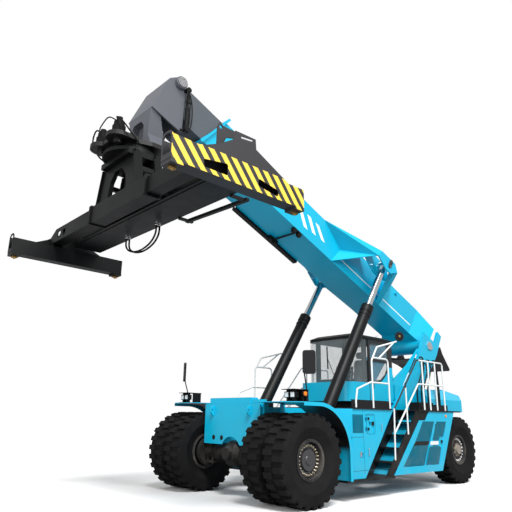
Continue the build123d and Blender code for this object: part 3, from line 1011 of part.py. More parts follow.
print("export")
total = 0
for name, shape in MODEL.items():
    export_step(shape, f"parts/{name}.step")
print(len(MODEL), "nodes")
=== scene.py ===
"""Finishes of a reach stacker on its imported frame, and the fine pieces that ride on it."""

from __future__ import annotations

import json
import logging
import math
from dataclasses import dataclass
from enum import Enum
from functools import partialmethod
from typing import Sequence

import bmesh
import bpy
from mathutils import Matrix, Quaternion, Vector
from mathutils.bvhtree import BVHTree

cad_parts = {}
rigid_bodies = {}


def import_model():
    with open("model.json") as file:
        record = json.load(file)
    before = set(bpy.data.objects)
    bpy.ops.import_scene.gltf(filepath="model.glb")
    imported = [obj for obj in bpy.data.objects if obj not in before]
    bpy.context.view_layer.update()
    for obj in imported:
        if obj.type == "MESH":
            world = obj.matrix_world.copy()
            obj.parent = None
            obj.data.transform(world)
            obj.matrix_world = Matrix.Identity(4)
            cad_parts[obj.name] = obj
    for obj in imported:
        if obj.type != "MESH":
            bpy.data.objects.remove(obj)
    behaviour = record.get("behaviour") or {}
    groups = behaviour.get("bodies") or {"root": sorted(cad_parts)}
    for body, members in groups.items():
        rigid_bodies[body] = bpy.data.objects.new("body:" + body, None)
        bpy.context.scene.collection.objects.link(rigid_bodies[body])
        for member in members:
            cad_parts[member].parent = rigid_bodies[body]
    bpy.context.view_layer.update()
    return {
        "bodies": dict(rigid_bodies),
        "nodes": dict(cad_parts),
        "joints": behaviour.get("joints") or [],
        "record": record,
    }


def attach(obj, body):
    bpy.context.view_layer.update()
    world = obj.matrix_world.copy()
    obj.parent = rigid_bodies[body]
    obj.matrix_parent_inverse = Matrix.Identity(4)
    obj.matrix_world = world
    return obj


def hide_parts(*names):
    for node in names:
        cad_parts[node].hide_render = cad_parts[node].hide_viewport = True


LOG = logging.getLogger("reach_stacker")
Point = tuple[float, float, float]
Colour = tuple[float, float, float]
Range = tuple[float, float]
Spots = Sequence[tuple[Vector, Vector]]
SIDES = ((1, "left"), (-1, "right"))
WHEEL_Z, REAR_X = 0.832, -6.42
BOOM_PIVOT, BOOM_ANGLE = (-6.47, 3.64), math.radians(23.2)


class Slot(Enum):
    """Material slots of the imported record."""

    CYAN = "cyan_paint"
    BLACK = "black_paint"
    WHITE = "white_paint"
    BRIGHT = "bright_steel"
    IRON = "iron"
    PLASTIC = "plastic"


def linear(red: float, green: float, blue: float) -> Colour:
    """Turns a display colour of 0 to 255 into a linear one.

    Args:
        red: Red part.
        green: Green part.
        blue: Blue part.

    Returns:
        The linear colour that renders as the display colour.
    """
    parts = (c / 255 for c in (red, green, blue))
    return tuple(c / 12.92 if c <= 0.04045 else ((c + 0.055) / 1.055) ** 2.4 for c in parts)


def shade(colour: Colour, factor: float) -> Colour:
    """Returns the colour with every part multiplied by the factor."""
    return tuple(min(1.0, c * factor) for c in colour)


def angles(count: int) -> list[float]:
    """Returns angles spread evenly round a circle."""
    return [math.tau * k / count for k in range(count)]


def squarish(angle: float, power: float) -> Range:
    """Returns a point of the unit circle that a power under 1 pulls out towards a square."""
    parts = math.cos(angle), math.sin(angle)
    return tuple(math.copysign(abs(part) ** power, part) for part in parts)


def axes_of(axis: Sequence[float]) -> tuple[Vector, Vector, Vector]:
    """Returns a direction as a unit vector, and two unit vectors across it."""
    along = Vector(axis).normalized()
    across = along.orthogonal().normalized()
    return along, across, along.cross(across)


def circle(at: Sequence[float], axis: Sequence[float], radius: float, count: int) -> Spots:
    """Returns places on a circle, each with the circle's axis."""
    along, across, up = axes_of(axis)
    return [(Vector(at) + (across * math.cos(t) + up * math.sin(t)) * radius, along)
            for t in angles(count)]


def link(made: bpy.types.Object) -> bpy.types.Object:
    """Links an object to the scene and returns it."""
    bpy.context.scene.collection.objects.link(made)
    return made


class Graph:
    """A material's node tree with short ways to grow it."""

    def __init__(self, name: str) -> None:
        """Makes an empty material with a Principled shader.

        Args:
            name: The material's name.
        """
        self.material = bpy.data.materials.new(name)
        self.material.use_nodes = True
        self.tree = self.material.node_tree
        self.tree.nodes.clear()
        self.shader = self.node("ShaderNodeBsdfPrincipled")
        self.node("ShaderNodeOutputMaterial", Surface=self.shader.outputs[0])

    @classmethod
    def of(cls, material: bpy.types.Material) -> Graph:
        """Returns a graph round a finished material, to change it further."""
        made = cls.__new__(cls)
        made.material, made.tree = material, material.node_tree
        made.shader = next(n for n in made.tree.nodes if n.type == "BSDF_PRINCIPLED")
        return made

    def node(self, kind: str, options: dict | None = None, **inputs: object) -> bpy.types.Node:
        """Adds a node.

        Args:
            kind: The node's type name.
            options: Attributes set before its sockets.
            **inputs: Values or sockets by input name, with _ for a space, or by in0, in1 and on.

        Returns:
            The new node.
        """
        made = self.tree.nodes.new(kind)
        for key, value in (options or {}).items():
            setattr(made, key, value)
        for key, value in inputs.items():
            number = key[2:] if key.startswith("in") and key[2:].isdigit() else None
            self.feed(made.inputs[int(number) if number else key.replace("_", " ")], value)
        return made

    def feed(self, socket: bpy.types.NodeSocket, value: object) -> None:
        """Links the value when it is a socket, and otherwise sets it."""
        if isinstance(value, bpy.types.NodeSocket):
            self.tree.links.new(value, socket)
        elif isinstance(value, tuple) and len(value) == 3 and socket.type == "RGBA":
            socket.default_value = (*value, 1.0)
        else:
            socket.default_value = value

    def set(self, **inputs: object) -> None:
        """Sets or links the shader's own sockets by name, with _ for a space."""
        for key, value in inputs.items():
            self.feed(self.shader.inputs[key.replace("_", " ")], value)

    def place(self) -> tuple[bpy.types.NodeSocket, ...]:
        """Returns the Object coordinates as a vector and as x, y and z."""
        vector = self.node("ShaderNodeTexCoord").outputs["Object"]
        return vector, *self.node("ShaderNodeSeparateXYZ", in0=vector).outputs

    def facing(self, axis: int) -> bpy.types.NodeSocket:
        """Returns one part of the surface's normal: 1 for y, 2 for z."""
        normal = self.node("ShaderNodeNewGeometry").outputs["Normal"]
        return self.node("ShaderNodeSeparateXYZ", in0=normal).outputs[axis]

    def math(self, operation: str, *values: object, clamp: bool = False) -> bpy.types.NodeSocket:
        """Returns the result of a Math node on numbers or sockets."""
        made = self.node("ShaderNodeMath", {"operation": operation, "use_clamp": clamp})
        for socket, value in zip(made.inputs, values):
            self.feed(socket, value)
        return made.outputs[0]

    def times(self, first: object, *others: object) -> bpy.types.NodeSocket:
        """Returns the product of the values."""
        for other in others:
            first = self.math("MULTIPLY", first, other)
        return first

    plus = partialmethod(math, "ADD")
    minus = partialmethod(math, "SUBTRACT")
    over = partialmethod(math, "GREATER_THAN")
    under = partialmethod(math, "LESS_THAN")

    def inside(self, value: object, low: float, high: float) -> bpy.types.NodeSocket:
        """Returns 1 where the value lies between two numbers."""
        return self.times(self.over(value, low), self.under(value, high))

    def scaled(self, scale: Point) -> bpy.types.NodeSocket:
        """Returns the Object coordinates stretched by a scale."""
        return self.node("ShaderNodeMapping", Vector=self.place()[0], Scale=scale).outputs[0]

    def noise(self, scale: float, detail: float = 3.0, rough: float = 0.55,
              vector: object = None) -> bpy.types.NodeSocket:
        """Returns a noise value around 0.5.

        Args:
            scale: Cells a metre.
            detail: Octaves.
            rough: Share that each finer octave adds.
            vector: Coordinates, or None for Object coordinates.

        Returns:
            The noise factor's socket.
        """
        at = self.place()[0] if vector is None else vector
        return self.node("ShaderNodeTexNoise", Vector=at, Scale=scale, Detail=detail,
                         Roughness=rough).outputs[0]

    def fit(self, value: object, low: float, high: float, to_low: object = 0.0,
            to_high: object = 1.0) -> bpy.types.NodeSocket:
        """Returns the value mapped from one range to another and kept in it."""
        return self.node("ShaderNodeMapRange", {"clamp": True}, in0=value, in1=low, in2=high,
                         in3=to_low, in4=to_high).outputs[0]

    def mix(self, factor: object, first: object, second: object) -> bpy.types.NodeSocket:
        """Returns a colour between the first, at 0, and the second, at 1."""
        return self.node("ShaderNodeMix", {"data_type": "RGBA"}, in0=factor, in6=first,
                         in7=second).outputs[2]

    def bump(self, height: object, strength: float, distance: float) -> None:
        """Gives the surface a bump.

        Args:
            height: The height's socket.
            strength: Share of the bump used.
            distance: Depth in metres of a height of 1.
        """
        made = self.node("ShaderNodeBump", Height=height, Strength=strength, Distance=distance)
        self.set(Normal=made.outputs[0])


@dataclass(frozen=True)
class Paint:
    """Sprayed paint with slight tone changes, road dust low down and on top, and scuffs."""

    name: str
    colour: Colour
    roughness: float = 0.38
    tone: float = 0.05
    dust: float = 0.25
    scuffs: float = 0.3
    metal: float = 0.0
    shine: float = 0.5
    # heights where road dust starts and is full, slopes where dust settles, noise of the patches
    splash = (1.9, 0.25)
    settling = (0.55, 0.95)
    patches = (2.6, 6.0, 0.62)
    streaks = (7.0, 7.0, 0.8)
    dust_colour = linear(150, 143, 132)

    def base(self, graph: Graph) -> object:
        """Returns the clean colour's socket, for finishes that add markings to override."""
        tone = graph.fit(graph.noise(0.9, 4.0), 0.3, 0.7)
        pale, deep = shade(self.colour, 1 + self.tone), shade(self.colour, 1 - self.tone)
        return graph.mix(tone, deep, pale)

    def material(self) -> bpy.types.Material:
        """Returns the finish's material."""
        graph = Graph(self.name)
        clean = self.base(graph)
        patches = graph.noise(*self.patches)
        low = graph.times(graph.fit(graph.place()[3], *self.splash), graph.fit(patches, 0.38, 0.72))
        flat = graph.times(graph.fit(graph.facing(2), *self.settling),
                           graph.fit(graph.noise(9.0, 5.0), 0.35, 0.75))
        dust = graph.math("MULTIPLY", graph.math("MAXIMUM", low, flat), self.dust, clamp=True)
        dusty = graph.mix(dust, clean, self.dust_colour)
        streaks = graph.noise(5.0, 8.0, 0.7, graph.scaled(self.streaks))
        scuff = graph.fit(streaks, 0.62, 0.82, 0.0, self.scuffs)
        worn = graph.fit(patches, 0.2, 0.8, self.roughness - 0.05, self.roughness + 0.07)
        graph.set(Base_Color=graph.mix(scuff, dusty, shade(self.colour, 0.55)),
                  Metallic=self.metal, Specular_IOR_Level=self.shine,
                  Roughness=graph.plus(graph.times(dust, 0.4), worn))
        graph.bump(graph.noise(55.0, 2.0), 0.25, 0.0012)
        return graph.material


@dataclass(frozen=True)
class MarkedPaint(Paint):
    """Paint with a second colour laid over a part of it."""

    mark: Colour = linear(20, 20, 22)

    def shown(self, graph: Graph) -> object:
        """Returns 1 where the mark shows, for each marked paint to say."""
        raise NotImplementedError

    def base(self, graph: Graph) -> object:
        """Returns the paint's tone with the mark over it."""
        return graph.mix(self.shown(graph), super().base(graph), self.mark)


@dataclass(frozen=True)
class StripedPaint(MarkedPaint):
    """Dark paint with slanted warning stripes on its outer face, up to a height."""

    pitch: float = 0.20
    share: float = 0.53
    slant: float = -0.8
    face_y: float = 3.79
    top_z: float = 5.03
    shift: float = 0.004

    def shown(self, graph: Graph) -> object:
        """Returns 1 on the stripes."""
        _, x, y, z = graph.place()
        across = graph.plus(graph.times(z, self.slant), graph.plus(x, self.shift))
        phase = graph.math("FRACT", graph.math("DIVIDE", across, self.pitch))
        outside = graph.times(graph.over(y, self.face_y), graph.over(graph.facing(1), 0.7))
        return graph.times(graph.under(phase, self.share), outside, graph.under(z, self.top_z))


@dataclass(frozen=True)
class BoomPaint(MarkedPaint):
    """Gloss paint with a white line along the boom's sides and slanted bars near its end."""

    # line: from and to along the boom, from and to above its pivot's line
    line = (0.47, 4.05, 0.455, 0.487)
    # bars: foot's place along and above, head's place along and above
    bars = ((5.31, 0.425, 5.64, 0.755), (4.99, 0.475, 5.33, 0.815), (4.63, 0.505, 4.99, 0.805))
    bar_width = 0.15

    def shown(self, graph: Graph) -> object:
        """Returns 1 on the line and on the bars."""
        _, x, _, z = graph.place()
        dx, dz = graph.minus(x, BOOM_PIVOT[0]), graph.minus(z, BOOM_PIVOT[1])
        c, s = math.cos(BOOM_ANGLE), math.sin(BOOM_ANGLE)
        along = graph.plus(graph.times(dx, c), graph.times(dz, s))
        above = graph.minus(graph.times(dz, c), graph.times(dx, s))
        shown = graph.times(graph.inside(along, *self.line[:2]),
                            graph.inside(above, *self.line[2:]))
        for s0, h0, s1, h1 in self.bars:
            lean = (s1 - s0) / (h1 - h0)
            edge, start = graph.minus(along, graph.times(above, lean)), s0 - h0 * lean
            bar = graph.times(graph.inside(edge, start, start + self.bar_width),
                              graph.inside(above, h0, h1))
            shown = graph.math("MAXIMUM", shown, bar)
        return graph.times(shown, graph.over(graph.math("ABSOLUTE", graph.facing(1)), 0.9))


@dataclass(frozen=True)
class DoorPaint(MarkedPaint):
    """Black door frame with a cyan panel that rises to the rear, and clear panes."""

    sill, rise_from, rise, panel_top, front = 2.452, -3.9, 1.32, 2.87, -3.60
    pane_y, pane, pane_alpha, pane_roughness = (0.8195, 0.8265), (0.30, 0.36, 0.38), 0.16, 0.03

    def shown(self, graph: Graph) -> object:
        """Returns 1 on the panel, below its curve."""
        _, x, _, z = graph.place()
        back = graph.math("MAXIMUM", graph.minus(self.rise_from, x), 0.0)
        curve = graph.plus(graph.times(back, back, self.rise), self.sill)
        below = graph.under(z, graph.math("MINIMUM", curve, self.panel_top))
        return graph.times(below, graph.under(x, self.front))

    def material(self) -> bpy.types.Material:
        """Returns the paint's material with clear panes."""
        made = super().material()
        graph = Graph.of(made)
        pane = graph.inside(graph.place()[2], *self.pane_y)
        colour, rough = (graph.shader.inputs[key].links[0].from_socket
                         for key in ("Base Color", "Roughness"))
        graph.set(Base_Color=graph.mix(pane, colour, self.pane),
                  Roughness=graph.fit(pane, 0.0, 1.0, rough, self.pane_roughness),
                  Alpha=graph.fit(pane, 0.0, 1.0, 1.0, self.pane_alpha))
        made.surface_render_method = "BLENDED"
        return made


@dataclass(frozen=True)
class FenderPaintedShade(MarkedPaint):
    """Gloss paint above, with black painted shade on the faces that look down."""

    def shown(self, graph: Graph) -> object:
        """Returns 1 where the surface faces down, for the black painted shade."""
        return graph.fit(graph.facing(2), -0.05, -0.15)


@dataclass(frozen=True)
class HeadPaint(MarkedPaint):
    """Grey housing on a black slewing platform."""

    platform_top = 6.79

    def shown(self, graph: Graph) -> object:
        """Returns 1 up to the platform's top."""
        return graph.under(graph.place()[3], self.platform_top)


@dataclass(frozen=True)
class HubPaint(MarkedPaint):
    """Dark wheel disc with a stone grey cap in its middle."""

    cap_radius = 0.17

    def shown(self, graph: Graph) -> object:
        """Returns 1 on the cap."""
        _, x, _, z = graph.place()
        dx, dz = graph.minus(x, REAR_X), graph.minus(z, WHEEL_Z)
        away = graph.plus(graph.times(dx, dx), graph.times(dz, dz))
        return graph.under(away, self.cap_radius**2)


@dataclass(frozen=True)
class RailPaint(MarkedPaint):
    """White hand rails with a black grip on the stair's top rail."""

    foot, slope, half, reach, outer_y = (-2.96, 1.83), -1.0265, 0.085, (-4.12, -2.98), 1.7

    def shown(self, graph: Graph) -> object:
        """Returns 1 along the grip."""
        _, x, y, z = graph.place()
        line = graph.plus(graph.times(graph.minus(x, self.foot[0]), self.slope), self.foot[1])
        near = graph.under(graph.math("ABSOLUTE", graph.minus(z, line)), self.half)
        return graph.times(near, graph.inside(x, *self.reach), graph.over(y, self.outer_y))


@dataclass(frozen=True)
class Grille(Paint):
    """Pressed sheet with rows of small holes, drawn as dark spots of painted shade."""

    pitch: float = 0.016

    def base(self, graph: Graph) -> object:
        """Returns the sheet's tone with dark spots of painted shade where the holes are."""
        cells = graph.node("ShaderNodeTexVoronoi", {"feature": "F1"}, Vector=graph.place()[0],
                           Scale=1 / self.pitch, Randomness=0.0)
        # painted shade: dark spots stand for the shade seen through the holes
        hole_shade = graph.fit(cells.outputs["Distance"], 0.42, 0.34)
        return graph.mix(hole_shade, super().base(graph), shade(self.colour, 0.5))


@dataclass(frozen=True)
class Plate(Paint):
    """Painted tread plate with a raised lozenge pattern on its top faces."""

    lozenge: float = 22.0

    def material(self) -> bpy.types.Material:
        """Returns the paint's material with lozenges as its bump."""
        made = super().material()
        graph = Graph.of(made)
        turned = graph.node("ShaderNodeMapping", Vector=graph.place()[0],
                            Rotation=(0.0, 0.0, math.radians(45)),
                            Scale=(self.lozenge, self.lozenge * 0.6, 0.0)).outputs[0]
        cells = graph.node("ShaderNodeTexVoronoi", Vector=turned, Scale=1.0, Randomness=0.0)
        bump = next(n for n in graph.tree.nodes if n.type == "BUMP")
        graph.feed(bump.inputs["Height"], graph.fit(cells.outputs["Distance"], 0.32, 0.22))
        graph.feed(bump.inputs["Strength"], 0.6)
        graph.feed(bump.inputs["Distance"], 0.003)
        return made


@dataclass(frozen=True)
class Rubber:
    """Tyre rubber, dusty on its tread and along its sidewall."""

    name: str
    colour: Colour
    dust_colour: Colour
    dust: float

    def material(self) -> bpy.types.Material:
        """Returns the finish's material."""
        graph = Graph(self.name)
        patches, grain = graph.noise(3.4, 7.0, 0.66), graph.noise(60.0, 4.0, 0.6)
        tone = graph.mix(grain, shade(self.colour, 0.7), shade(self.colour, 1.35))
        dust = graph.times(graph.fit(patches, 0.36, 0.74), self.dust)
        graph.set(Base_Color=graph.mix(dust, tone, self.dust_colour),
                  Roughness=graph.fit(patches, 0.3, 0.7, 0.62, 0.88), Specular_IOR_Level=0.15)
        graph.bump(graph.plus(graph.times(grain, 0.5), patches), 0.5, 0.004)
        return graph.material


@dataclass(frozen=True)
class Steel:
    """Bare or plated metal with fine brushing and a little oil."""

    name: str
    colour: Colour
    roughness: float = 0.25
    brush: Point = (40.0, 40.0, 2.0)
    stain: float = 0.25

    def material(self) -> bpy.types.Material:
        """Returns the finish's material."""
        graph = Graph(self.name)
        lines = graph.noise(6.0, 5.0, 0.6, graph.scaled(self.brush))
        oil = graph.fit(graph.noise(4.0, 6.0, 0.6), 0.5, 0.8, 0.0, self.stain)
        tone = graph.mix(lines, shade(self.colour, 0.85), shade(self.colour, 1.1))
        brushed = graph.fit(lines, 0.3, 0.7, self.roughness - 0.06, self.roughness + 0.08)
        graph.set(Base_Color=graph.mix(oil, tone, shade(self.colour, 0.35)), Metallic=1.0,
                  Roughness=graph.plus(graph.times(oil, 0.3), brushed))
        graph.bump(lines, 0.12, 0.0006)
        return graph.material


@dataclass(frozen=True)
class Glass:
    """Tinted sheet glass, or a lamp's lens."""

    name: str
    colour: Colour = (0.30, 0.36, 0.38)
    alpha: float = 0.16
    roughness: float = 0.03

    def material(self) -> bpy.types.Material:
        """Returns the finish's material."""
        graph = Graph(self.name)
        film = graph.fit(graph.noise(3.0, 5.0), 0.45, 0.8, 0.0, 0.35)
        graph.set(Base_Color=graph.mix(film, self.colour, linear(170, 170, 165)), IOR=1.45,
                  Roughness=self.roughness, Alpha=graph.plus(self.alpha, graph.times(film, 0.15)))
        graph.material.surface_render_method = "BLENDED"
        return graph.material


@dataclass(frozen=True)
class Fabric:
    """Woven seat cloth."""

    name: str
    colour: Colour = linear(44, 46, 50)
    thread: float = 420.0

    def material(self) -> bpy.types.Material:
        """Returns the finish's material."""
        graph = Graph(self.name)
        _, x, y, z = graph.place()
        warp, weft = (graph.math("SINE", graph.times(run, self.thread * 2))
                      for run in (y, graph.plus(x, z)))
        weave = graph.times(warp, weft)
        worn = graph.fit(graph.noise(9.0, 5.0), 0.35, 0.75)
        tone = graph.mix(graph.fit(weave, -1.0, 1.0), shade(self.colour, 0.7),
                         shade(self.colour, 1.3))
        graph.set(Base_Color=graph.mix(graph.times(worn, 0.35), tone, shade(self.colour, 1.9)),
                  Roughness=graph.fit(worn, 0.0, 1.0, 0.92, 0.78), Specular_IOR_Level=0.2)
        graph.bump(graph.plus(graph.times(weave, 0.5), worn), 0.3, 0.001)
        return graph.material


BLUE = linear(0, 176, 212)
CYAN = Paint("cyan_gloss", BLUE, 0.33, 0.04, 0.18, 0.12)
BLACK = Paint("black_satin", linear(15, 16, 17), 0.42, 0.10, 0.16, 0.25, shine=0.2)
BLACK_MATT = Paint("black_matt", linear(13, 13, 14), 0.62, 0.10, 0.2, 0.2, shine=0.15)
BOOM_SIDE = BoomPaint("boom_gloss", BLUE, 0.33, 0.04, 0.18, 0.12, mark=linear(236, 240, 240))
WHITE = Paint("white_gloss", linear(226, 229, 228), 0.35, 0.03, 0.2, 0.15)
HAZARD = StripedPaint("hazard_skin", linear(50, 50, 53), 0.45, 0.08, 0.12, 0.3, shine=0.3,
                      mark=linear(238, 206, 78))
TREAD = Plate("tread_plate", linear(24, 24, 26), 0.55, 0.1, 0.35, 0.3, shine=0.2)
RIM = Paint("rim_grey", linear(36, 36, 38), 0.5, 0.1, 0.45, 0.3, shine=0.25)
CHROME = Steel("chrome_rod", linear(225, 228, 230), 0.12, (3.0, 3.0, 60.0), 0.1)
BRIGHT = Steel("bright_steel", linear(190, 190, 188), 0.3)
DARK = Steel("dark_steel", linear(96, 96, 98), 0.4)
BRASS = Steel("brass_lock", linear(176, 142, 84), 0.38)
IRON = Paint("cast_iron", linear(58, 58, 60), 0.6, 0.12, 0.4, 0.3, 0.3)
PLASTIC = Paint("black_plastic", linear(20, 20, 22), 0.5, 0.06, 0.1, 0.1, shine=0.25)
TYRE = Rubber("tyre_rubber", linear(17, 17, 18), linear(62, 59, 55), 0.2)
HOSE = Rubber("hose_rubber", linear(24, 24, 25), linear(60, 58, 56), 0.15)
GLASS = Glass("cab_glass")
LENS = Glass("lamp_lens", (0.85, 0.87, 0.88), 0.85, 0.12)
AMBER = Paint("amber_lens", linear(240, 120, 20), 0.2, 0.05, 0.1, 0.05)
DOOR = DoorPaint("door_paint", linear(28, 28, 30), 0.42, 0.1, 0.12, 0.15, mark=BLUE)
# fender paint: the black on faces that look down is painted shade
FENDER_PAINTED_SHADE = FenderPaintedShade("fender_paint_painted_shade", BLUE, 0.33, 0.04, 0.18, 0.12, mark=linear(22, 24, 26))
GRILLE = Grille("grille_sheet", linear(0, 108, 132), 0.5, 0.05, 0.2, 0.15, shine=0.15)
VENT = Paint("vent_slats", linear(0, 112, 138), 0.45, 0.05, 0.2, 0.15, shine=0.15)
SEAM = Paint("panel_seam", linear(6, 84, 104), 0.6, 0.05, 0.1, 0.1)
NUT = Steel("zinc_nut", linear(214, 206, 188), 0.3, stain=0.15)
CLOTH = Fabric("seat_cloth")
HUB = HubPaint("hub_disc", linear(30, 30, 32), 0.5, 0.1, 0.3, 0.3, shine=0.25,
               mark=linear(142, 134, 122))
RAIL = RailPaint("rail_white", linear(226, 229, 228), 0.35, 0.03, 0.2, 0.15,
                 mark=linear(22, 22, 24))
TELESCOPE = Paint("telescope_grey", linear(84, 90, 96), 0.5, 0.05, 0.15, 0.2, shine=0.3)
HOUSING = HeadPaint("head_paint", linear(92, 95, 102), 0.42, 0.05, 0.18, 0.15, shine=0.35)
BLANK = Paint("blank_plate", linear(224, 228, 228), 0.4, 0.02, 0.1, 0.1)

# the material slot listed for each finish of the fine pieces
SLOTS = {
    **dict.fromkeys((CYAN, GRILLE, SEAM, VENT), Slot.CYAN),
    **dict.fromkeys((PLASTIC, AMBER, LENS, CLOTH, HOSE), Slot.PLASTIC),
    **dict.fromkeys((BRIGHT, BRASS, NUT, WHITE), Slot.BRIGHT),
    BLACK: Slot.BLACK, BLANK: Slot.WHITE, IRON: Slot.IRON,
}
CHASSIS_FINISHES = {
    "chassis_frame": CYAN, "engine_block": IRON, "front_cross_beam": CYAN,
    "front_fenders": FENDER_PAINTED_SHADE, "front_side_boxes": CYAN, "rear_side_boxes": CYAN,
    "stairs": BLACK, "decks": TREAD, "hand_rails": RAIL, "counterweight": CYAN,
    "tower": CYAN, "boom_pivot_pin": BRIGHT, "lift_base_pins": BRIGHT, "front_axle": BLACK,
    "rear_axle": BLACK, "mirrors": PLASTIC, "work_lamps": BLACK, "rear_hose_guard": BLACK,
}
CAB_FINISHES = {
    "cab_base": BLACK_MATT, "cab_lower_body": CYAN, "cab_frame": BLACK, "driver_seat": PLASTIC,
    "steering_console": PLASTIC, "cab_door": DOOR, "cab_glass": GLASS,
}
WHEEL_FINISHES = {
    f"{end}_{side}_{part}": finish
    for end, parts in (
        ("front", {"tyres": TYRE, "rims": RIM, "hub": DARK}),
        ("rear", {"tyre": TYRE, "rim": RIM, "hub": HUB, "knuckle": IRON}),
    )
    for _, side in SIDES
    for part, finish in parts.items()
}
BOOM_FINISHES = {
    "outer_boom": BOOM_SIDE, "boom_lamps": BLACK, "boom_lugs": CYAN, "hose_tray": BLACK,
    "inner_boom": TELESCOPE, "lift_barrel_left": BLACK, "lift_barrel_right": BLACK,
    "lift_rod_left": CHROME, "lift_rod_right": CHROME,
}
HEAD_FINISHES = {
    "rotator_head": HOUSING, "head_pin": BRIGHT, "tilt_dampers": BLACK,
    "slew_motors": BLACK_MATT, "slew_carriage": BLACK,
}
SPREADER_FINISHES = {
    "spreader_frame": BLACK, "spreader_end_left": HAZARD, "spreader_end_right": BLACK,
    "twistlocks_left": BRASS, "twistlocks_right": BRASS, "spreader_hoses": PLASTIC,
}


class Form:
    """Grows one mesh from tubes, plates and turned shapes; each shape's call returns the form."""

    def __init__(self) -> None:
        """Starts with an empty mesh."""
        self.bm = bmesh.new()

    def skin(self, rings: Sequence[Sequence[Vector]], ends: bool = True) -> Form:
        """Joins closed rings of points one after another.

        Args:
            rings: Rings with the same number of points.
            ends: Whether the first and last ring are closed with a face.
        """
        rows = [[self.bm.verts.new(p) for p in ring] for ring in rings]
        for low, high in zip(rows, rows[1:]):
            for i, corner in enumerate(low):
                j = (i + 1) % len(low)
                self.bm.faces.new((corner, low[j], high[j], high[i]))
        if ends:
            self.bm.faces.new(list(reversed(rows[0])))
            self.bm.faces.new(rows[-1])
        return self

    def tube(self, points: Sequence[Sequence[float]], radius: float, sides: int = 12) -> Form:
        """Adds a tube along a line of points."""
        line = [Vector(p) for p in points]
        last = len(line) - 1
        ahead = [(line[min(i + 1, last)] - line[max(i - 1, 0)]).normalized()
                 for i in range(last + 1)]
        across = ahead[0].orthogonal().normalized()
        rings = []
        for at, along in zip(line, ahead):
            across = (across - along * across.dot(along)).normalized()
            up = along.cross(across)
            rings.append([at + (across * math.cos(t) + up * math.sin(t)) * radius
                          for t in angles(sides)])
        return self.skin(rings)

    def hose(self, points: Sequence[Sequence[float]], radius: float, steps: int = 8,
             sides: int = 10) -> Form:
        """Adds a tube on a smooth curve through the points, with so many steps for each."""
        line = [Vector(p) for p in points]
        line = [line[0] * 2 - line[1], *line, line[-1] * 2 - line[-2]]
        run = []
        for p0, p1, p2, p3 in zip(line, line[1:], line[2:], line[3:]):
            for t in (k / steps for k in range(steps)):
                run.append(0.5 * (2 * p1 + (p2 - p0) * t + (2 * p0 - 5 * p1 + 4 * p2 - p3) * t * t
                                  + (3 * p1 - 3 * p2 + p3 - p0) * t**3))
        return self.tube([*run, line[-2]], radius, sides)

    def turned(self, at: Sequence[float], axis: Sequence[float], profile: Sequence[Range],
               sides: int = 32) -> Form:
        """Adds a turned shape.

        Args:
            at: The start of the axis.
            axis: Its direction.
            profile: Distance along the axis and radius, row by row.
            sides: Points round the axis.
        """
        along, across, up = axes_of(axis)
        start = Vector(at)
        return self.skin([[start + along * d + (across * math.cos(t) + up * math.sin(t)) * r
                           for t in angles(sides)] for d, r in profile])

    def ring(self, at: Sequence[float], axis: Sequence[float], radius: float, wire: float,
             sides: int = 40) -> Form:
        """Adds a round ring of wire."""
        along, across, up = axes_of(axis)
        rings = []
        for turn in angles(sides):
            out = across * math.cos(turn) + up * math.sin(turn)
            rings.append([Vector(at) + out * radius
                          + (out * math.cos(t) + along * math.sin(t)) * wire for t in angles(10)])
        return self.skin([*rings, rings[0]], ends=False)

    def plate(self, corners: Sequence[Sequence[float]], offset: Sequence[float],
              edge: float = 0.0) -> Form:
        """Adds a flat plate.

        Args:
            corners: Its outline.
            offset: Its thickness as a vector.
            edge: How far the outer face's edge is drawn in.
        """
        low = [Vector(p) for p in corners]
        middle = sum(low, Vector()) / len(low)
        return self.skin([low, [p + Vector(offset) + (middle - p).normalized() * edge
                                for p in low]])

    def panel(self, corners: Sequence[Range], y: float, out: float, edge: float = 0.0,
              lean: float = 0.0) -> Form:
        """Adds a plate that faces sideways.

        Args:
            corners: The x and z of its outline.
            y: Its place.
            out: Its thickness, with the sign of its side.
            edge: How far the outer face's edge is drawn in.
            lean: How far the outer face is moved along x.
        """
        return self.plate([(x, y, z) for x, z in corners], (lean, out, 0), edge)

    def mesh(self, name: str) -> bpy.types.Mesh:
        """Returns the finished mesh with its faces turned outwards."""
        bmesh.ops.remove_doubles(self.bm, verts=self.bm.verts, dist=1e-6)
        bmesh.ops.recalc_face_normals(self.bm, faces=self.bm.faces)
        made = bpy.data.meshes.new(name)
        self.bm.to_mesh(made)
        self.bm.free()
        return made


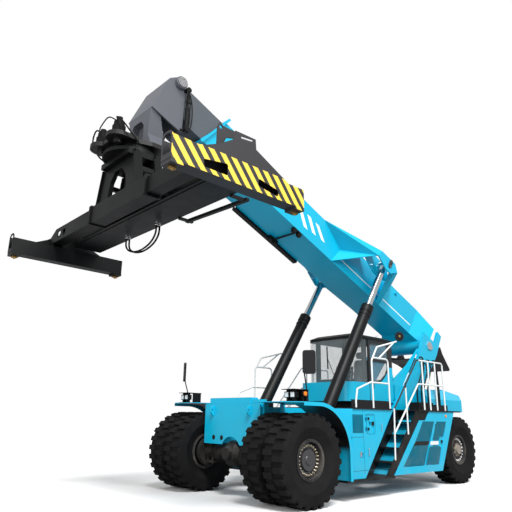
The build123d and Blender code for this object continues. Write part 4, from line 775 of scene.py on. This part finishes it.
class Copier:
    """A node group that sets copies of a small piece on points, each along its own axis."""

    def __init__(self) -> None:
        """Builds the group with its named inputs."""
        self.tree = tree = bpy.data.node_groups.new("copies_on_points", "GeometryNodeTree")
        kinds = {"Points": "Geometry", "Copy": "Object", "Finish": "Material", "Turn seed": "Int"}
        self.sockets = {
            name: tree.interface.new_socket(name, in_out="INPUT",
                                            socket_type=f"NodeSocket{kind}").identifier
            for name, kind in kinds.items()
        }
        tree.interface.new_socket("Result", in_out="OUTPUT", socket_type="NodeSocketGeometry")
        add = tree.nodes.new
        inputs, outputs = add("NodeGroupInput"), add("NodeGroupOutput")
        axis = add("GeometryNodeInputNamedAttribute")
        axis.data_type = "FLOAT_VECTOR"
        axis.inputs["Name"].default_value = "axis"
        align = add("FunctionNodeAlignRotationToVector")
        align.axis = "Z"
        info, place = add("GeometryNodeObjectInfo"), add("GeometryNodeInstanceOnPoints")
        spin, local = add("FunctionNodeRandomValue"), add("GeometryNodeRotateInstances")
        real, dress = add("GeometryNodeRealizeInstances"), add("GeometryNodeSetMaterial")
        spin.data_type = "FLOAT_VECTOR"
        spin.inputs[0].default_value = (0.0, 0.0, 0.0)
        spin.inputs[1].default_value = (0.0, 0.0, math.pi / 3)
        for start, out, end, into in (
            (axis, 0, align, "Vector"), (inputs, "Points", place, "Points"),
            (inputs, "Copy", info, "Object"), (info, "Geometry", place, "Instance"),
            (align, 0, place, "Rotation"), (inputs, "Turn seed", spin, "Seed"),
            (place, "Instances", local, "Instances"), (spin, 0, local, "Rotation"),
            (local, "Instances", real, "Geometry"), (real, "Geometry", dress, "Geometry"),
            (inputs, "Finish", dress, "Material"), (dress, "Geometry", outputs, "Result"),
        ):
            tree.links.new(start.outputs[out], end.inputs[into])

    def spread(self, name: str, spots: Spots, copy: bpy.types.Mesh, finish: bpy.types.Material,
               seed: int = 7) -> bpy.types.Mesh:
        """Makes one mesh of copies.

        Args:
            name: The mesh's name.
            spots: The place and the axis of each copy.
            copy: The small piece's mesh, standing on the origin along z.
            finish: Its material.
            seed: Seed of each copy's turn about its own axis.

        Returns:
            The mesh of all copies.
        """
        points = bpy.data.meshes.new(f"{name}_points")
        points.from_pydata([at for at, _ in spots], [], [])
        axes = points.attributes.new("axis", "FLOAT_VECTOR", "POINT")
        for item, (_, along) in zip(axes.data, spots):
            item.vector = along
        holder = link(bpy.data.objects.new(f"{name}_holder", points))
        model = link(bpy.data.objects.new(f"{name}_model", copy))
        nodes = holder.modifiers.new("copies", "NODES")
        nodes.node_group = self.tree
        for key, value in (("Copy", model), ("Finish", finish), ("Turn seed", seed)):
            nodes[self.sockets[key]] = value
        graph = bpy.context.evaluated_depsgraph_get()
        made = bpy.data.meshes.new_from_object(holder.evaluated_get(graph), depsgraph=graph)
        made.name = name
        holder.modifiers.remove(nodes)
        for spare in (holder, model):
            bpy.data.objects.remove(spare)
        return made


def nut(size: float, tall: float) -> Form:
    """Returns a hexagonal nut with a chamfered top, its washer and its stud's end."""
    return (Form()
            .turned((0, 0, 0), (0, 0, 1), [(0, size * 0.62), (tall * 0.12, size * 0.62)], 16)
            .turned((0, 0, tall * 0.12), (0, 0, 1),
                    [(0, size * 0.5), (tall * 0.75, size * 0.5), (tall * 0.88, size * 0.42)], 6)
            .turned((0, 0, tall * 0.8), (0, 0, 1),
                    [(0, size * 0.25), (tall * 0.5, size * 0.25), (tall * 0.56, size * 0.2)], 10))


@dataclass
class Assembly:
    """A group of CAD nodes and the fine pieces that go with them."""

    nodes: dict
    copier: Copier
    finishes: dict
    sharp_angle = math.radians(38)

    def material(self, finish: object) -> bpy.types.Material:
        """Returns the finish's material, made at its first use."""
        found = bpy.data.materials.get(finish.name)
        return found if found is not None else finish.material()

    def dress(self) -> None:
        """Gives each CAD node of this assembly its finish."""
        for name, finish in self.finishes.items():
            slots = self.nodes[name].data.materials
            slots.clear()
            slots.append(self.material(finish))
            LOG.info("dressed %s with %s", name, finish.name)

    def probe(self, node: str, origin: Sequence[float], direction: Sequence[float]) -> Vector:
        """Returns the first point of a CAD node along a ray.

        Args:
            node: The node's name.
            origin: The ray's start.
            direction: Its direction.

        Returns:
            The point hit, or the origin when nothing is.
        """
        mesh = self.nodes[node].data
        tree = BVHTree.FromPolygons([v.co for v in mesh.vertices],
                                    [p.vertices for p in mesh.polygons])
        hit = tree.ray_cast(Vector(origin), Vector(direction).normalized())[0]
        if hit is None:
            LOG.warning("no hit on %s from %s", node, tuple(origin))
            return Vector(origin)
        return hit

    def piece(self, name: str, shape: Form | bpy.types.Mesh, finish: object,
              body: str = "chassis", smooth: bool = False) -> bpy.types.Object:
        """Links a finished piece that rides on a body.

        Args:
            name: The piece's name.
            shape: Its form or its mesh, in place.
            finish: Its finish.
            body: The body that it rides on.
            smooth: Whether its curved faces are shaded smooth.

        Returns:
            The piece's object.
        """
        mesh = shape.mesh(name) if isinstance(shape, Form) else shape
        made = link(bpy.data.objects.new(name, mesh))
        mesh.materials.clear()
        mesh.materials.append(self.material(finish))
        if smooth:
            mesh.shade_smooth()
            mesh.set_sharp_from_angle(angle=self.sharp_angle)
        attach(made, body)
        LOG.info("made %s on %s, %d faces", name, body, len(mesh.polygons))
        return made

    def nuts(self, name: str, spots: Spots, size: float, tall: float, finish: object,
             body: str) -> None:
        """Adds one piece of like nuts.

        Args:
            name: The piece's name.
            spots: The place and the axis of each nut.
            size: The nut's width.
            tall: Its height.
            finish: Its finish.
            body: The body that they ride on.
        """
        copies = self.copier.spread(name, spots, nut(size, tall).mesh("nut"), self.material(finish))
        self.piece(name, copies, finish, body)

    def detail(self) -> None:
        """Adds the fine pieces; a plain assembly has none."""


@dataclass
class Wheels(Assembly):
    """Tyres, rims, hubs and knuckles, with their nuts."""

    # end, x, ring radius, count, nut size, finish
    rings = (("front", 0.0, 0.258, 24, 0.036, NUT),
                              ("rear", REAR_X, 0.275, 20, 0.062, WHITE))
    beside = 2.6
    nut_height = 0.03

    def detail(self) -> None:
        """Adds the rings of wheel nuts."""
        for end, x, radius, count, size, finish in self.rings:
            for side, label in SIDES:
                start = (x + radius, side * self.beside, WHEEL_Z)
                seat = self.probe(f"{end}_{label}_hub", start, (0, -side, 0))
                spots = circle((x, seat.y, WHEEL_Z), (0, side, 0), radius, count)
                self.nuts(f"{end}_{label}_nuts", spots, size, self.nut_height, finish,
                          f"{end}_{label}_wheel")


@dataclass
class Chassis(Assembly):
    """Frame, boxes, decks, stairs, rails, counterweight and tower, with their panels."""

    side_y = 1.9
    # x and z of the outlines of the screened openings, the dark band and the blank plate
    screens = (
        ((-4.16, 1.54), (-4.68, 1.54), (-4.41, 1.09), (-3.80, 1.09)),
        ((-3.68, 1.00), (-4.34, 1.00), (-4.11, 0.57), (-3.24, 0.57)),
        ((-4.79, 1.54), (-5.25, 1.54), (-5.06, 1.20), (-4.86, 1.20), (-4.86, 1.12), (-4.54, 1.12)),
        ((-4.40, 0.97), (-4.86, 0.97), (-4.92, 0.93), (-4.76, 0.57), (-4.20, 0.57)),
    )
    band = ((-3.80, 1.085), (-4.405, 1.085), (-4.345, 1.005), (-3.69, 1.005))
    blank = ((-4.46, 1.085), (-4.82, 1.085), (-4.80, 1.005), (-4.43, 1.005))
    # x, z and half width of the square knobs and the latch
    knobs = ((-2.02, 1.58, 0.026), (-2.01, 1.37, 0.026), (-2.17, 1.48, 0.040),
                              (-4.97, 1.075, 0.034))
    # lines of the doors: x and z of each end
    seams = ((-1.83, 0.50, -1.83, 1.74), (-1.22, 1.21, -1.83, 1.21),
                              (-1.22, 0.56, -2.70, 0.56))
    seam_half = 0.004
    # x, z0 and z1 of the upright handles
    handles = ((-2.46, 1.32, 1.48), (-1.97, 0.83, 0.99))
    slats = 9
    slat_pitch = 0.0388
    plugs = (-0.57, -0.30, 0.57)
    plug_z = 1.14

    def panels(self, side: int, label: str) -> None:
        """Adds the panels, seams, vent, handles, markers and lenses of one side."""
        y, out = side * self.side_y, side * 0.004
        screens = Form()
        for corners in self.screens:
            screens.panel(corners, y, out, 0.004)
        self.piece(f"{label}_screens", screens, GRILLE)
        dark = Form().panel(self.band, y, out, 0.003)
        for x, z, half in self.knobs:
            square = [(x + u * half, z + w * half) for u, w in ((1, 1), (-1, 1), (-1, -1), (1, -1))]
            dark.panel(square, y, side * 0.012, 0.006)
        self.piece(f"{label}_dark_panels", dark, BLACK)
        self.piece(f"{label}_blank_plate", Form().panel(self.blank, y, out, 0.003), BLANK)
        self.piece(f"{label}_seams", self.lines(y, side), SEAM)
        vent = Form().panel([(-1.47, 1.66), (-1.83, 1.66), (-1.82, 1.29), (-1.47, 1.29)], y,
                            side * 0.003, 0.002)
        for x in (-1.49 - k * self.slat_pitch for k in range(self.slats)):
            slat = [(x, 1.31), (x - 0.028, 1.31), (x - 0.028, 1.64), (x, 1.64)]
            vent.panel(slat, y, side * 0.012, 0.004, 0.006)
        self.piece(f"{label}_vent", vent, VENT)
        bars = Form()
        foot, bend, grip = (y + side * d for d in (-0.005, 0.025, 0.028))
        for x, z0, z1 in self.handles:
            bars.hose([(x, foot, z0), (x, bend, z0 + 0.012), (x, grip, (z0 + z1) / 2),
                       (x, bend, z1 - 0.012), (x, foot, z1)], 0.007, 6, 8)
        bars.panel([(-1.68, 0.93), (-1.74, 0.93), (-1.74, 0.82), (-1.68, 0.82)], y,
                   side * 0.014, 0.008)
        self.piece(f"{label}_handles", bars, BRIGHT, smooth=True)
        across = (0, side, 0)
        markers = Form()
        markers.turned((-5.26, y, 1.67), across, [(0, 0.036), (0.010, 0.034), (0.017, 0.022)], 20)
        markers.turned((0.02, side * 1.9605, 2.01), across,
                       [(0, 0.044), (0.018, 0.040), (0.028, 0.022)], 24)
        self.piece(f"{label}_markers", markers, AMBER, smooth=True)
        lens = Form()
        for at in (1.585, 1.74):
            ends = [side * (at + u) for u in (0.012, 0.108)]
            lens.plate([(0.2055, ends[0], 1.947), (0.2055, ends[1], 1.947),
                        (0.2055, ends[1], 2.038), (0.2055, ends[0], 2.038)], (0.006, 0, 0), 0.008)
        self.piece(f"{label}_lenses", lens, LENS)

    def lines(self, y: float, side: int) -> Form:
        """Returns the thin lines round one side's doors and its hatch."""
        lines = Form()
        for x0, z0, x1, z1 in self.seams:
            along = Vector((x1 - x0, z1 - z0)).normalized() * self.seam_half
            lines.panel([(x0 + along.y, z0 - along.x), (x1 + along.y, z1 - along.x),
                         (x1 - along.y, z1 + along.x), (x0 - along.y, z0 + along.x)],
                        y, side * 0.001)
        hatch = (squarish(t, 0.3) for t in (*angles(48), math.tau))
        return lines.tube([(-2.10 + 0.15 * u, y + side * 0.001, 1.47 + 0.205 * w)
                           for u, w in hatch], 0.003, 6)

    def detail(self) -> None:
        """Adds both sides' panels, the front plugs and the round mirror."""
        for side, label in SIDES:
            self.panels(side, label)
        plugs = Form()
        for y in self.plugs:
            front = self.probe("chassis_frame", (1.2, y, self.plug_z), (-1, 0, 0))
            plugs.turned((front.x, y, self.plug_z), (1, 0, 0), [(0, 0.052), (0.003, 0.050)], 24)
        self.piece("front_plate_plugs", plugs, BLACK)
        facing, middle = Vector((0.55, 0.8, -0.12)).normalized(), Vector((-3.37, 1.909, 3.47))
        bowl = [(0, 0.06), (0.012, 0.105), (0.024, 0.112), (0.034, 0.105), (0.040, 0.02)]
        back = middle - facing * 0.02
        arm = [back, (-3.24, 1.909, 3.335)]
        mirror = Form().turned(back, facing, bowl, 36).tube(arm, 0.012, 10)
        self.piece("round_mirror", mirror, PLASTIC, smooth=True)
        boss = Form().turned(middle + facing * 0.018, facing,
                             [(0, 0.028), (0.010, 0.026), (0.014, 0.012)], 16)
        self.piece("round_mirror_boss", boss, BRASS, smooth=True)


@dataclass
class Cab(Assembly):
    """The cab's shell, door, seat and steering wheel."""

    # name, middle x and z, half length, half width, half thickness, lean back in degrees
    cushions = (
        ("seat_pad", -4.09, 2.505, 0.235, 0.245, 0.062, 0.0),
        ("seat_back", -4.385, 2.845, 0.285, 0.235, 0.058, 84.0),
        ("head_rest", -4.395, 3.235, 0.085, 0.135, 0.045, 86.0),
    )
    # share of the half thickness, share of the outline
    levels = ((-1.0, 0.86), (-0.82, 0.975), (0.0, 1.0), (0.82, 0.975), (1.0, 0.86))
    corner = 0.42
    frames = 12
    swell = (0.006, 0.006, 0.016)

    def cushion(self, name: str, x: float, z: float, length: float, width: float, thick: float,
                lean: float) -> None:
        """Adds one stuffed cushion with its sides drawn in, and its piping.

        Args:
            name: The piece's name.
            x: Its middle's x.
            z: Its middle's z.
            length: Its half length.
            width: Its half width.
            thick: Its half thickness.
            lean: Its lean back in degrees.
        """
        turn = Matrix.Translation((x, 0, z)) @ Matrix.Rotation(math.radians(lean), 4, "Y")

        def rim(share: float, level: float, turns: Sequence[float]) -> list[Vector]:
            outline = (squarish(t, self.corner) for t in turns)
            return [Vector((length * share * u, width * share * v, thick * level))
                    for u, v in outline]

        rings = [rim(share, level, angles(40)) for level, share in self.levels]
        mesh = Form().skin(rings).mesh(name)
        made = link(bpy.data.objects.new(name, mesh))
        mesh = self.stuffed(made)
        bpy.data.objects.remove(made)
        mesh.transform(turn)
        piece = self.piece(name, mesh, CLOTH, smooth=True)
        loop = [turn @ point for point in rim(0.97, 0.84, (*angles(64), math.tau))]
        self.piece(f"{name}_piping", Form().tube(loop, 0.004, 6), PLASTIC, smooth=True)

    def stuffed(self, made: bpy.types.Object) -> bpy.types.Mesh:
        """Swells a closed form with cloth under pressure and returns its mesh."""
        rest = made.modifiers.new("remesh", "REMESH")
        rest.mode, rest.voxel_size = "VOXEL", 0.010
        cloth = made.modifiers.new("cloth", "CLOTH")
        cloth.settings.use_pressure = True
        cloth.settings.uniform_pressure_force = 4.0
        cloth.settings.effector_weights.gravity = 0.0
        cloth.settings.tension_stiffness = 40.0
        scene = bpy.context.scene
        scene.frame_start, scene.frame_end = 1, self.frames
        for frame in range(1, self.frames + 1):
            scene.frame_set(frame)
        graph = bpy.context.evaluated_depsgraph_get()
        grown = bpy.data.meshes.new_from_object(made.evaluated_get(graph), depsgraph=graph)
        limits = [max(abs(v.co[i]) for v in made.data.vertices) + cap
                  for i, cap in enumerate(self.swell)]
        for vertex in grown.vertices:
            for i, limit in enumerate(limits):
                vertex.co[i] = max(-limit, min(limit, vertex.co[i]))
        scene.frame_set(1)
        return grown

    def seat(self) -> None:
        """Adds the cushions and the frame under them, with its arm rests."""
        for row in self.cushions:
            self.cushion(*row)
        stand = [(0, 0.20), (0.02, 0.20), (0.05, 0.15), (0.20, 0.16), (0.24, 0.20), (0.38, 0.20),
                 (0.41, 0.16)]
        base = Form().turned((-4.10, 0, 2.02), (0, 0, 1), stand, 8)
        arm = ((-4.36, 0.22, 2.60), (-4.40, 0.235, 2.72), (-4.30, 0.24, 2.77), (-4.05, 0.24, 2.775),
               (-3.93, 0.24, 2.76))
        for side, _ in SIDES:
            base.hose([(x, side * y, z) for x, y, z in arm], 0.026, 6)
        base.plate([(-4.43, -0.20, 2.45), (-4.43, 0.20, 2.45), (-4.447, 0.18, 3.10),
                    (-4.447, -0.18, 3.10)], (0.022, 0, 0), 0.01)
        frame = self.piece("seat_frame", base, PLASTIC, smooth=True)
        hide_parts("driver_seat")

    def desk(self) -> None:
        """Adds the console with its column, steering wheel and screen."""
        desk = Form()
        for z, tall, edge in ((2.025, 0.46, 0.0), (2.485, 0.055, 0.04)):
            desk.plate([(-3.395, -0.555, z), (-3.205, -0.555, z), (-3.205, 0.555, z),
                        (-3.395, 0.555, z)], (0, 0, tall), edge)
        desk.tube([(-3.37, 0, 2.48), (-3.46, 0, 2.60), (-3.595, 0, 2.745)], 0.036, 14)
        hub, axis, radius = Vector((-3.602, 0, 2.757)), Vector((-0.64, 0, 0.77)), 0.188
        desk.ring(hub, axis, radius, 0.013)
        desk.turned(hub - axis * 0.025, axis, [(0, 0.045), (0.028, 0.045), (0.034, 0.03)], 18)
        for spot, _ in circle(hub, axis, radius, 3):
            desk.tube([hub, (hub + spot) / 2 - axis * 0.008, spot], 0.010, 8)
        desk.plate([(-3.33, 0.30, 2.54), (-3.31, 0.30, 2.54), (-3.31, 0.52, 2.54),
                    (-3.33, 0.52, 2.54)], (-0.03, 0, 0.30))
        console = self.piece("console", desk, PLASTIC, smooth=True)
        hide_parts("steering_console")

    def detail(self) -> None:
        """Adds the seat, console, roof eyes, door handle and wiper."""
        self.seat()
        self.desk()
        rings = Form()
        for x in (-3.65, -4.40):
            for y in (0.55, -0.55):
                top = self.probe("cab_frame", (x, y, 4.2), (0, 0, -1)).z
                rings.turned((x, y, top - 0.004), (0, 0, 1),
                             [(0, 0.030), (0.014, 0.030), (0.022, 0.018)], 16)
                rings.ring((x, y, top + 0.048), (0.3, 1, 0), 0.032, 0.008, 28)
        self.piece("roof_eyes", rings, BRIGHT, smooth=True)
        pull = [(-3.72, 0.843, 2.30), (-3.72, 0.870, 2.32), (-3.72, 0.872, 2.40),
                (-3.72, 0.870, 2.48), (-3.72, 0.843, 2.50)]
        self.piece("door_handle", Form().hose(pull, 0.010, 6, 8), PLASTIC, "cab_door_body", True)
        wiper = Form().tube([(-3.056, 0.22, 2.47), (-3.046, 0.10, 2.72), (-3.046, -0.05, 3.05)],
                            0.008, 8)
        wiper.plate([(-3.050, -0.06, 2.78), (-3.050, -0.03, 2.78), (-3.050, -0.05, 3.36),
                     (-3.050, -0.08, 3.36)], (0.012, 0, 0))
        self.piece("wiper", wiper, PLASTIC)


@dataclass
class Boom(Assembly):
    """Boom, lugs, hose tray and lift cylinders."""

    # the lift pin's place along and above the boom's pivot line
    pin = (2.89, 0.85)
    bolt_places = (4.7, 5.2, 5.7, 6.2, 6.7)

    def at(self, s: float, h: float, y: float) -> Vector:
        """Returns the point at a distance along, above and beside the boom's pivot line."""
        c, d = math.cos(BOOM_ANGLE), math.sin(BOOM_ANGLE)
        return Vector((BOOM_PIVOT[0] + s * c - h * d, y, BOOM_PIVOT[1] + s * d + h * c))

    def detail(self) -> None:
        """Adds the pin caps, eye brackets, tray hoses and bolts."""
        s0, h0 = self.pin
        caps, eyes, hoses, pin_bolts, bolts = Form(), Form(), Form(), [], []
        for side, _ in SIDES:
            across = Vector((0, side, 0))
            outline = [self.at(s0 + 0.075 * math.cos(t) - 0.02 * math.sin(t),
                               h0 + 0.135 * math.sin(t), side * 1.284) for t in angles(28)]
            caps.plate(outline, (0, side * 0.012, 0), 0.008)
            pin_bolts += [(self.at(s0, h0 + h, side * 1.296), across) for h in (-0.085, 0.085)]
            foot = ((1.38, 0.93), (1.50, 0.93), (1.48, 1.02), (1.40, 1.02))
            eyes.plate([self.at(s, h, side * 0.470) for s, h in foot], (0, side * 0.03, 0), 0.01)
            eyes.ring(self.at(1.44, 0.975, side * 0.508), (0, 1, 0), 0.030, 0.009, 24)
            bolts += [(self.at(s, 1.0, side * 0.470), across) for s in self.bolt_places]
        self.piece("lift_pin_caps", caps, IRON, "boom", True)
        self.nuts("lift_pin_bolts", pin_bolts, 0.030, 0.018, BRIGHT, "boom")
        self.piece("boom_eyes", eyes, CYAN, "boom", True)
        for y in (-0.515 - 0.021 * k for k in range(4)):
            hoses.tube([self.at(s, 0.196, y) for s in (4.60, 5.40, 6.20, 6.90)], 0.0095, 8)
        self.piece("tray_hoses", hoses, PLASTIC, "boom", True)
        self.nuts("boom_side_bolts", bolts, 0.022, 0.010, CYAN, "boom")


@dataclass
class Head(Assembly):
    """Rotator head, motors and carriage, with their hoses and bolts."""

    # radius, points
    hoses = (
        (0.016, ((3.53, 0.34, 7.05), (3.64, 0.42, 7.10), (3.60, 0.60, 6.95), (3.40, 0.66, 6.72),
                 (3.20, 0.60, 6.60))),
        (0.016, ((3.53, -0.34, 7.05), (3.66, -0.40, 7.12), (3.62, -0.60, 6.92),
                 (3.42, -0.66, 6.70), (3.22, -0.60, 6.60))),
        (0.013, ((3.58, 0.30, 7.10), (3.70, 0.20, 7.16), (3.70, -0.05, 7.12),
                 (3.66, -0.25, 7.08), (3.58, -0.32, 7.05))),
    )
    bows = (0.0, 0.035, 0.062)

    def detail(self) -> None:
        """Adds hoses on the motors and beside the dampers, and bolts on the pin's ends."""
        for number, (radius, points) in enumerate(self.hoses):
            self.piece(f"motor_hose_{number}", Form().hose(points, radius), HOSE, "head", True)
        spots = []
        for side, label in SIDES:
            y, runs = side * 0.560, Form()
            for k, bow in enumerate(self.bows):
                x = 2.125 - 0.034 * k
                runs.hose([(x + 0.03, y, 8.30 - 0.02 * k), (x - bow * 0.4, y + side * 0.012, 8.05),
                           (x - bow, y, 7.75), (x - bow * 0.6, y, 7.48),
                           (x + 0.02, y - side * 0.02, 7.28 + 0.02 * k)], 0.013)
            runs.panel([(2.03, 8.02), (2.17, 8.02), (2.17, 8.06), (2.03, 8.06)], side * 0.545,
                       side * 0.034)
            self.piece(f"head_hoses_{label}", runs, HOSE, "head", True)
            spots += circle((2.29, side * 0.591, 8.45), (0, side, 0), 0.075, 6)
        self.nuts("head_pin_bolts", spots, 0.024, 0.014, BRIGHT, "head")


def spline_length(points: Sequence[Vector], steps: int = 24) -> float:
    """Returns the length of a clamped quadratic B-spline with these control points."""
    count = len(points)
    knots = [0.0, 0.0, 0.0, *(float(k) for k in range(1, count - 2)), *([float(count - 2)] * 3)]

    def at(t: float) -> Vector:
        span = min(int(t) + 2, count - 1)
        work = [points[span - 2 + j].copy() for j in range(3)]
        for level in (1, 2):
            for j in range(2, level - 1, -1):
                i = span - 2 + j
                low, high = knots[i], knots[i + 3 - level]
                share = (t - low) / (high - low) if high > low else 0.0
                work[j] = work[j - 1] * (1 - share) + work[j] * share
        return work[2]

    run = [at(k / steps) for k in range((count - 2) * steps + 1)]
    return sum((b - a).length for a, b in zip(run, run[1:]))


@dataclass
class Spreader(Assembly):
    """Spreader frame, ends, twistlocks and hanging hoses."""

    # y and z of the hanging hose's line
    loop = (
        (-0.330, 5.0497), (-0.330, 4.93), (-0.322, 4.82), (-0.250, 4.735), (-0.120, 4.665),
        (0.050, 4.62), (0.240, 4.603), (0.420, 4.62), (0.600, 4.67), (0.710, 4.74),
        (0.782, 4.83), (0.790, 4.93), (0.790, 5.0497))
    hose_radius = 0.018
    planes = (2.810, 2.740)

    def cord(self, name: str, x: float) -> bpy.types.Object:
        """Adds one hanging hose.

        Args:
            name: The piece's name.
            x: The plane that it hangs in.

        Returns:
            The hose's object.
        """
        curve = bpy.data.curves.new(name, "CURVE")
        curve.dimensions = "3D"
        curve.bevel_depth, curve.bevel_resolution, curve.use_fill_caps = self.hose_radius, 3, True
        line = curve.splines.new("NURBS")
        line.points.add(len(self.loop) - 1)
        points = [Vector((x, y, z)) for y, z in self.loop]
        for point, place in zip(line.points, points):
            point.co = (*place, 1.0)
        line.order_u, line.use_endpoint_u, line.resolution_u = 3, True, 8
        made = link(bpy.data.objects.new(name, curve))
        curve.materials.append(self.material(HOSE))
        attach(made, "spreader")
        length = spline_length(points)
        LOG.info("hung %s, %.3f m long", name, length)
        return made

    def detail(self) -> None:
        """Adds the two hanging hoses with their ferrules, and the guide bar."""
        front, rear = self.planes
        hose = self.cord("spreader_hose_front", front)
        self.cord("spreader_hose_rear", rear)
        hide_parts("spreader_hoses")
        bar = Form().plate([(2.29, 2.82, 5.015), (2.36, 2.82, 5.015), (2.46, 1.22, 5.015),
                            (2.39, 1.22, 5.015)], (0, 0, 0.055))
        for y in (1.24, 2.72):
            bar.plate([(2.33, y, 5.02), (2.635, y, 5.02), (2.635, y + 0.06, 5.02),
                       (2.33, y + 0.06, 5.02)], (0, 0, 0.045))
        self.piece("guide_bar", bar, BLACK, "spreader")
        ferrules = Form()
        sleeve = [(0, 0.0215), (0.006, 0.0235), (0.050, 0.0235), (0.054, 0.027), (0.0645, 0.027)]
        for x in (rear, front):
            for y in (self.loop[0][0], self.loop[-1][0]):
                ferrules.turned((x, y, 4.985), (0, 0, 1), sleeve, 12)
        self.piece("hose_ferrules", ferrules, BRIGHT, "spreader", True)


@dataclass
class Studio:
    """Camera, plain floor and soft lamps."""

    eye: Point = (7.7625, 9.0448, 1.5723)
    yaw: float = math.radians(-132.2)
    pitch: float = 0.2924
    roll: float = 0.0173
    lens: float = 37.6
    sensor: float = 36.0
    floor_half: float = 90.0
    floor_seen: tuple = ((0.90, 0.90, 0.90), (0.96, 0.96, 0.96))
    floor_lit: Colour = (0.34, 0.34, 0.35)
    world_light: float = 0.55

    def camera(self) -> None:
        """Makes the camera and sets it as the scene's own."""
        data = bpy.data.cameras.new("camera")
        data.lens, data.sensor_width = self.lens, self.sensor
        data.clip_start, data.clip_end = 0.1, 400.0
        made = link(bpy.data.objects.new("camera", data))
        flat, c, s = math.cos(self.pitch), math.cos(self.yaw), math.sin(self.yaw)
        ahead, right = Vector((flat * c, flat * s, math.sin(self.pitch))), Vector((s, -c, 0.0))
        up = right.cross(ahead)
        turned = right * math.cos(self.roll) + up * math.sin(self.roll)
        raised = up * math.cos(self.roll) - right * math.sin(self.roll)
        axes = Matrix((turned, raised, -ahead)).transposed().to_4x4()
        made.matrix_world = Matrix.Translation(self.eye) @ axes
        bpy.context.scene.camera = made

    def floor(self) -> None:
        """Lays a plain pale floor that shows as white away from the shadow."""
        mesh = bpy.data.meshes.new("floor")
        h = self.floor_half
        mesh.from_pydata([(-h, -h, 0), (h, -h, 0), (h, h, 0), (-h, h, 0)], [], [(0, 1, 2, 3)])
        graph = Graph("floor_pale")
        seen = graph.node("ShaderNodeLightPath").outputs["Is Camera Ray"]
        grain = graph.mix(graph.noise(0.5, 3.0), *self.floor_seen)
        graph.set(Base_Color=graph.mix(seen, self.floor_lit, grain), Roughness=0.9,
                  Specular_IOR_Level=0.1)
        mesh.materials.append(graph.material)
        link(bpy.data.objects.new("floor", mesh))

    def world(self) -> None:
        """Sets an even pale world that is white to the eye and dimmer as light."""
        world = bpy.data.worlds.new("world")
        bpy.context.scene.world = world
        world.use_nodes = True
        tree = world.node_tree
        back, path = tree.nodes["Background"], tree.nodes.new("ShaderNodeLightPath")
        seen, level = tree.nodes.new("ShaderNodeMath"), tree.nodes.new("ShaderNodeMapRange")
        seen.operation = "MAXIMUM"
        level.inputs[3].default_value, level.inputs[4].default_value = self.world_light, 1.0
        for out, into in ((path.outputs["Is Camera Ray"], seen.inputs[0]),
                          (path.outputs["Is Transmission Ray"], seen.inputs[1]),
                          (seen.outputs[0], level.inputs[0]),
                          (level.outputs[0], back.inputs["Strength"])):
            tree.links.new(out, into)
        back.inputs["Color"].default_value = (1.0, 1.0, 1.0, 1.0)

    def light(self, name: str, kind: str, energy: float, turn: Quaternion) -> bpy.types.Object:
        """Adds a lamp.

        Args:
            name: The lamp's name.
            kind: SUN or AREA.
            energy: Its strength or its power.
            turn: Its rotation.

        Returns:
            The lamp's object.
        """
        made = link(bpy.data.objects.new(name, bpy.data.lights.new(name, kind)))
        made.data.energy = energy
        made.rotation_euler = turn.to_euler()
        return made

    def build(self) -> None:
        """Makes the camera, floor, world and lamps."""
        bpy.context.scene.view_settings.view_transform = "Standard"
        self.camera()
        self.floor()
        self.world()
        sun = self.light("sun", "SUN", 2.9, Vector((0.42, 0.62, 1.0)).to_track_quat("Z", "Y"))
        sun.data.angle = math.radians(16)
        for name, at, towards, size, watts in (
            ("key", (2.0, 15.0, 12.0), (-2.0, 0.0, 3.0), 9.0, 1500.0),
            ("front", (15.0, 3.0, 6.0), (0.0, 0.0, 3.0), 8.0, 700.0),
        ):
            turn = (Vector(towards) - Vector(at)).to_track_quat("-Z", "Y")
            lamp = self.light(name, "AREA", watts, turn)
            lamp.data.size, lamp.location = size, at


def main() -> None:
    """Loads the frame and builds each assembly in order."""
    logging.basicConfig(level=logging.INFO, format="%(name)s: %(message)s")
    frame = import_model()
    Studio().build()
    copier = Copier()
    parts = ((Chassis, CHASSIS_FINISHES), (Cab, CAB_FINISHES), (Wheels, WHEEL_FINISHES),
             (Boom, BOOM_FINISHES), (Head, HEAD_FINISHES), (Spreader, SPREADER_FINISHES))
    for kind, finishes in parts:
        part = kind(frame["nodes"], copier, finishes)
        part.dress()
        part.detail()


if __name__ == "__main__":
    main()
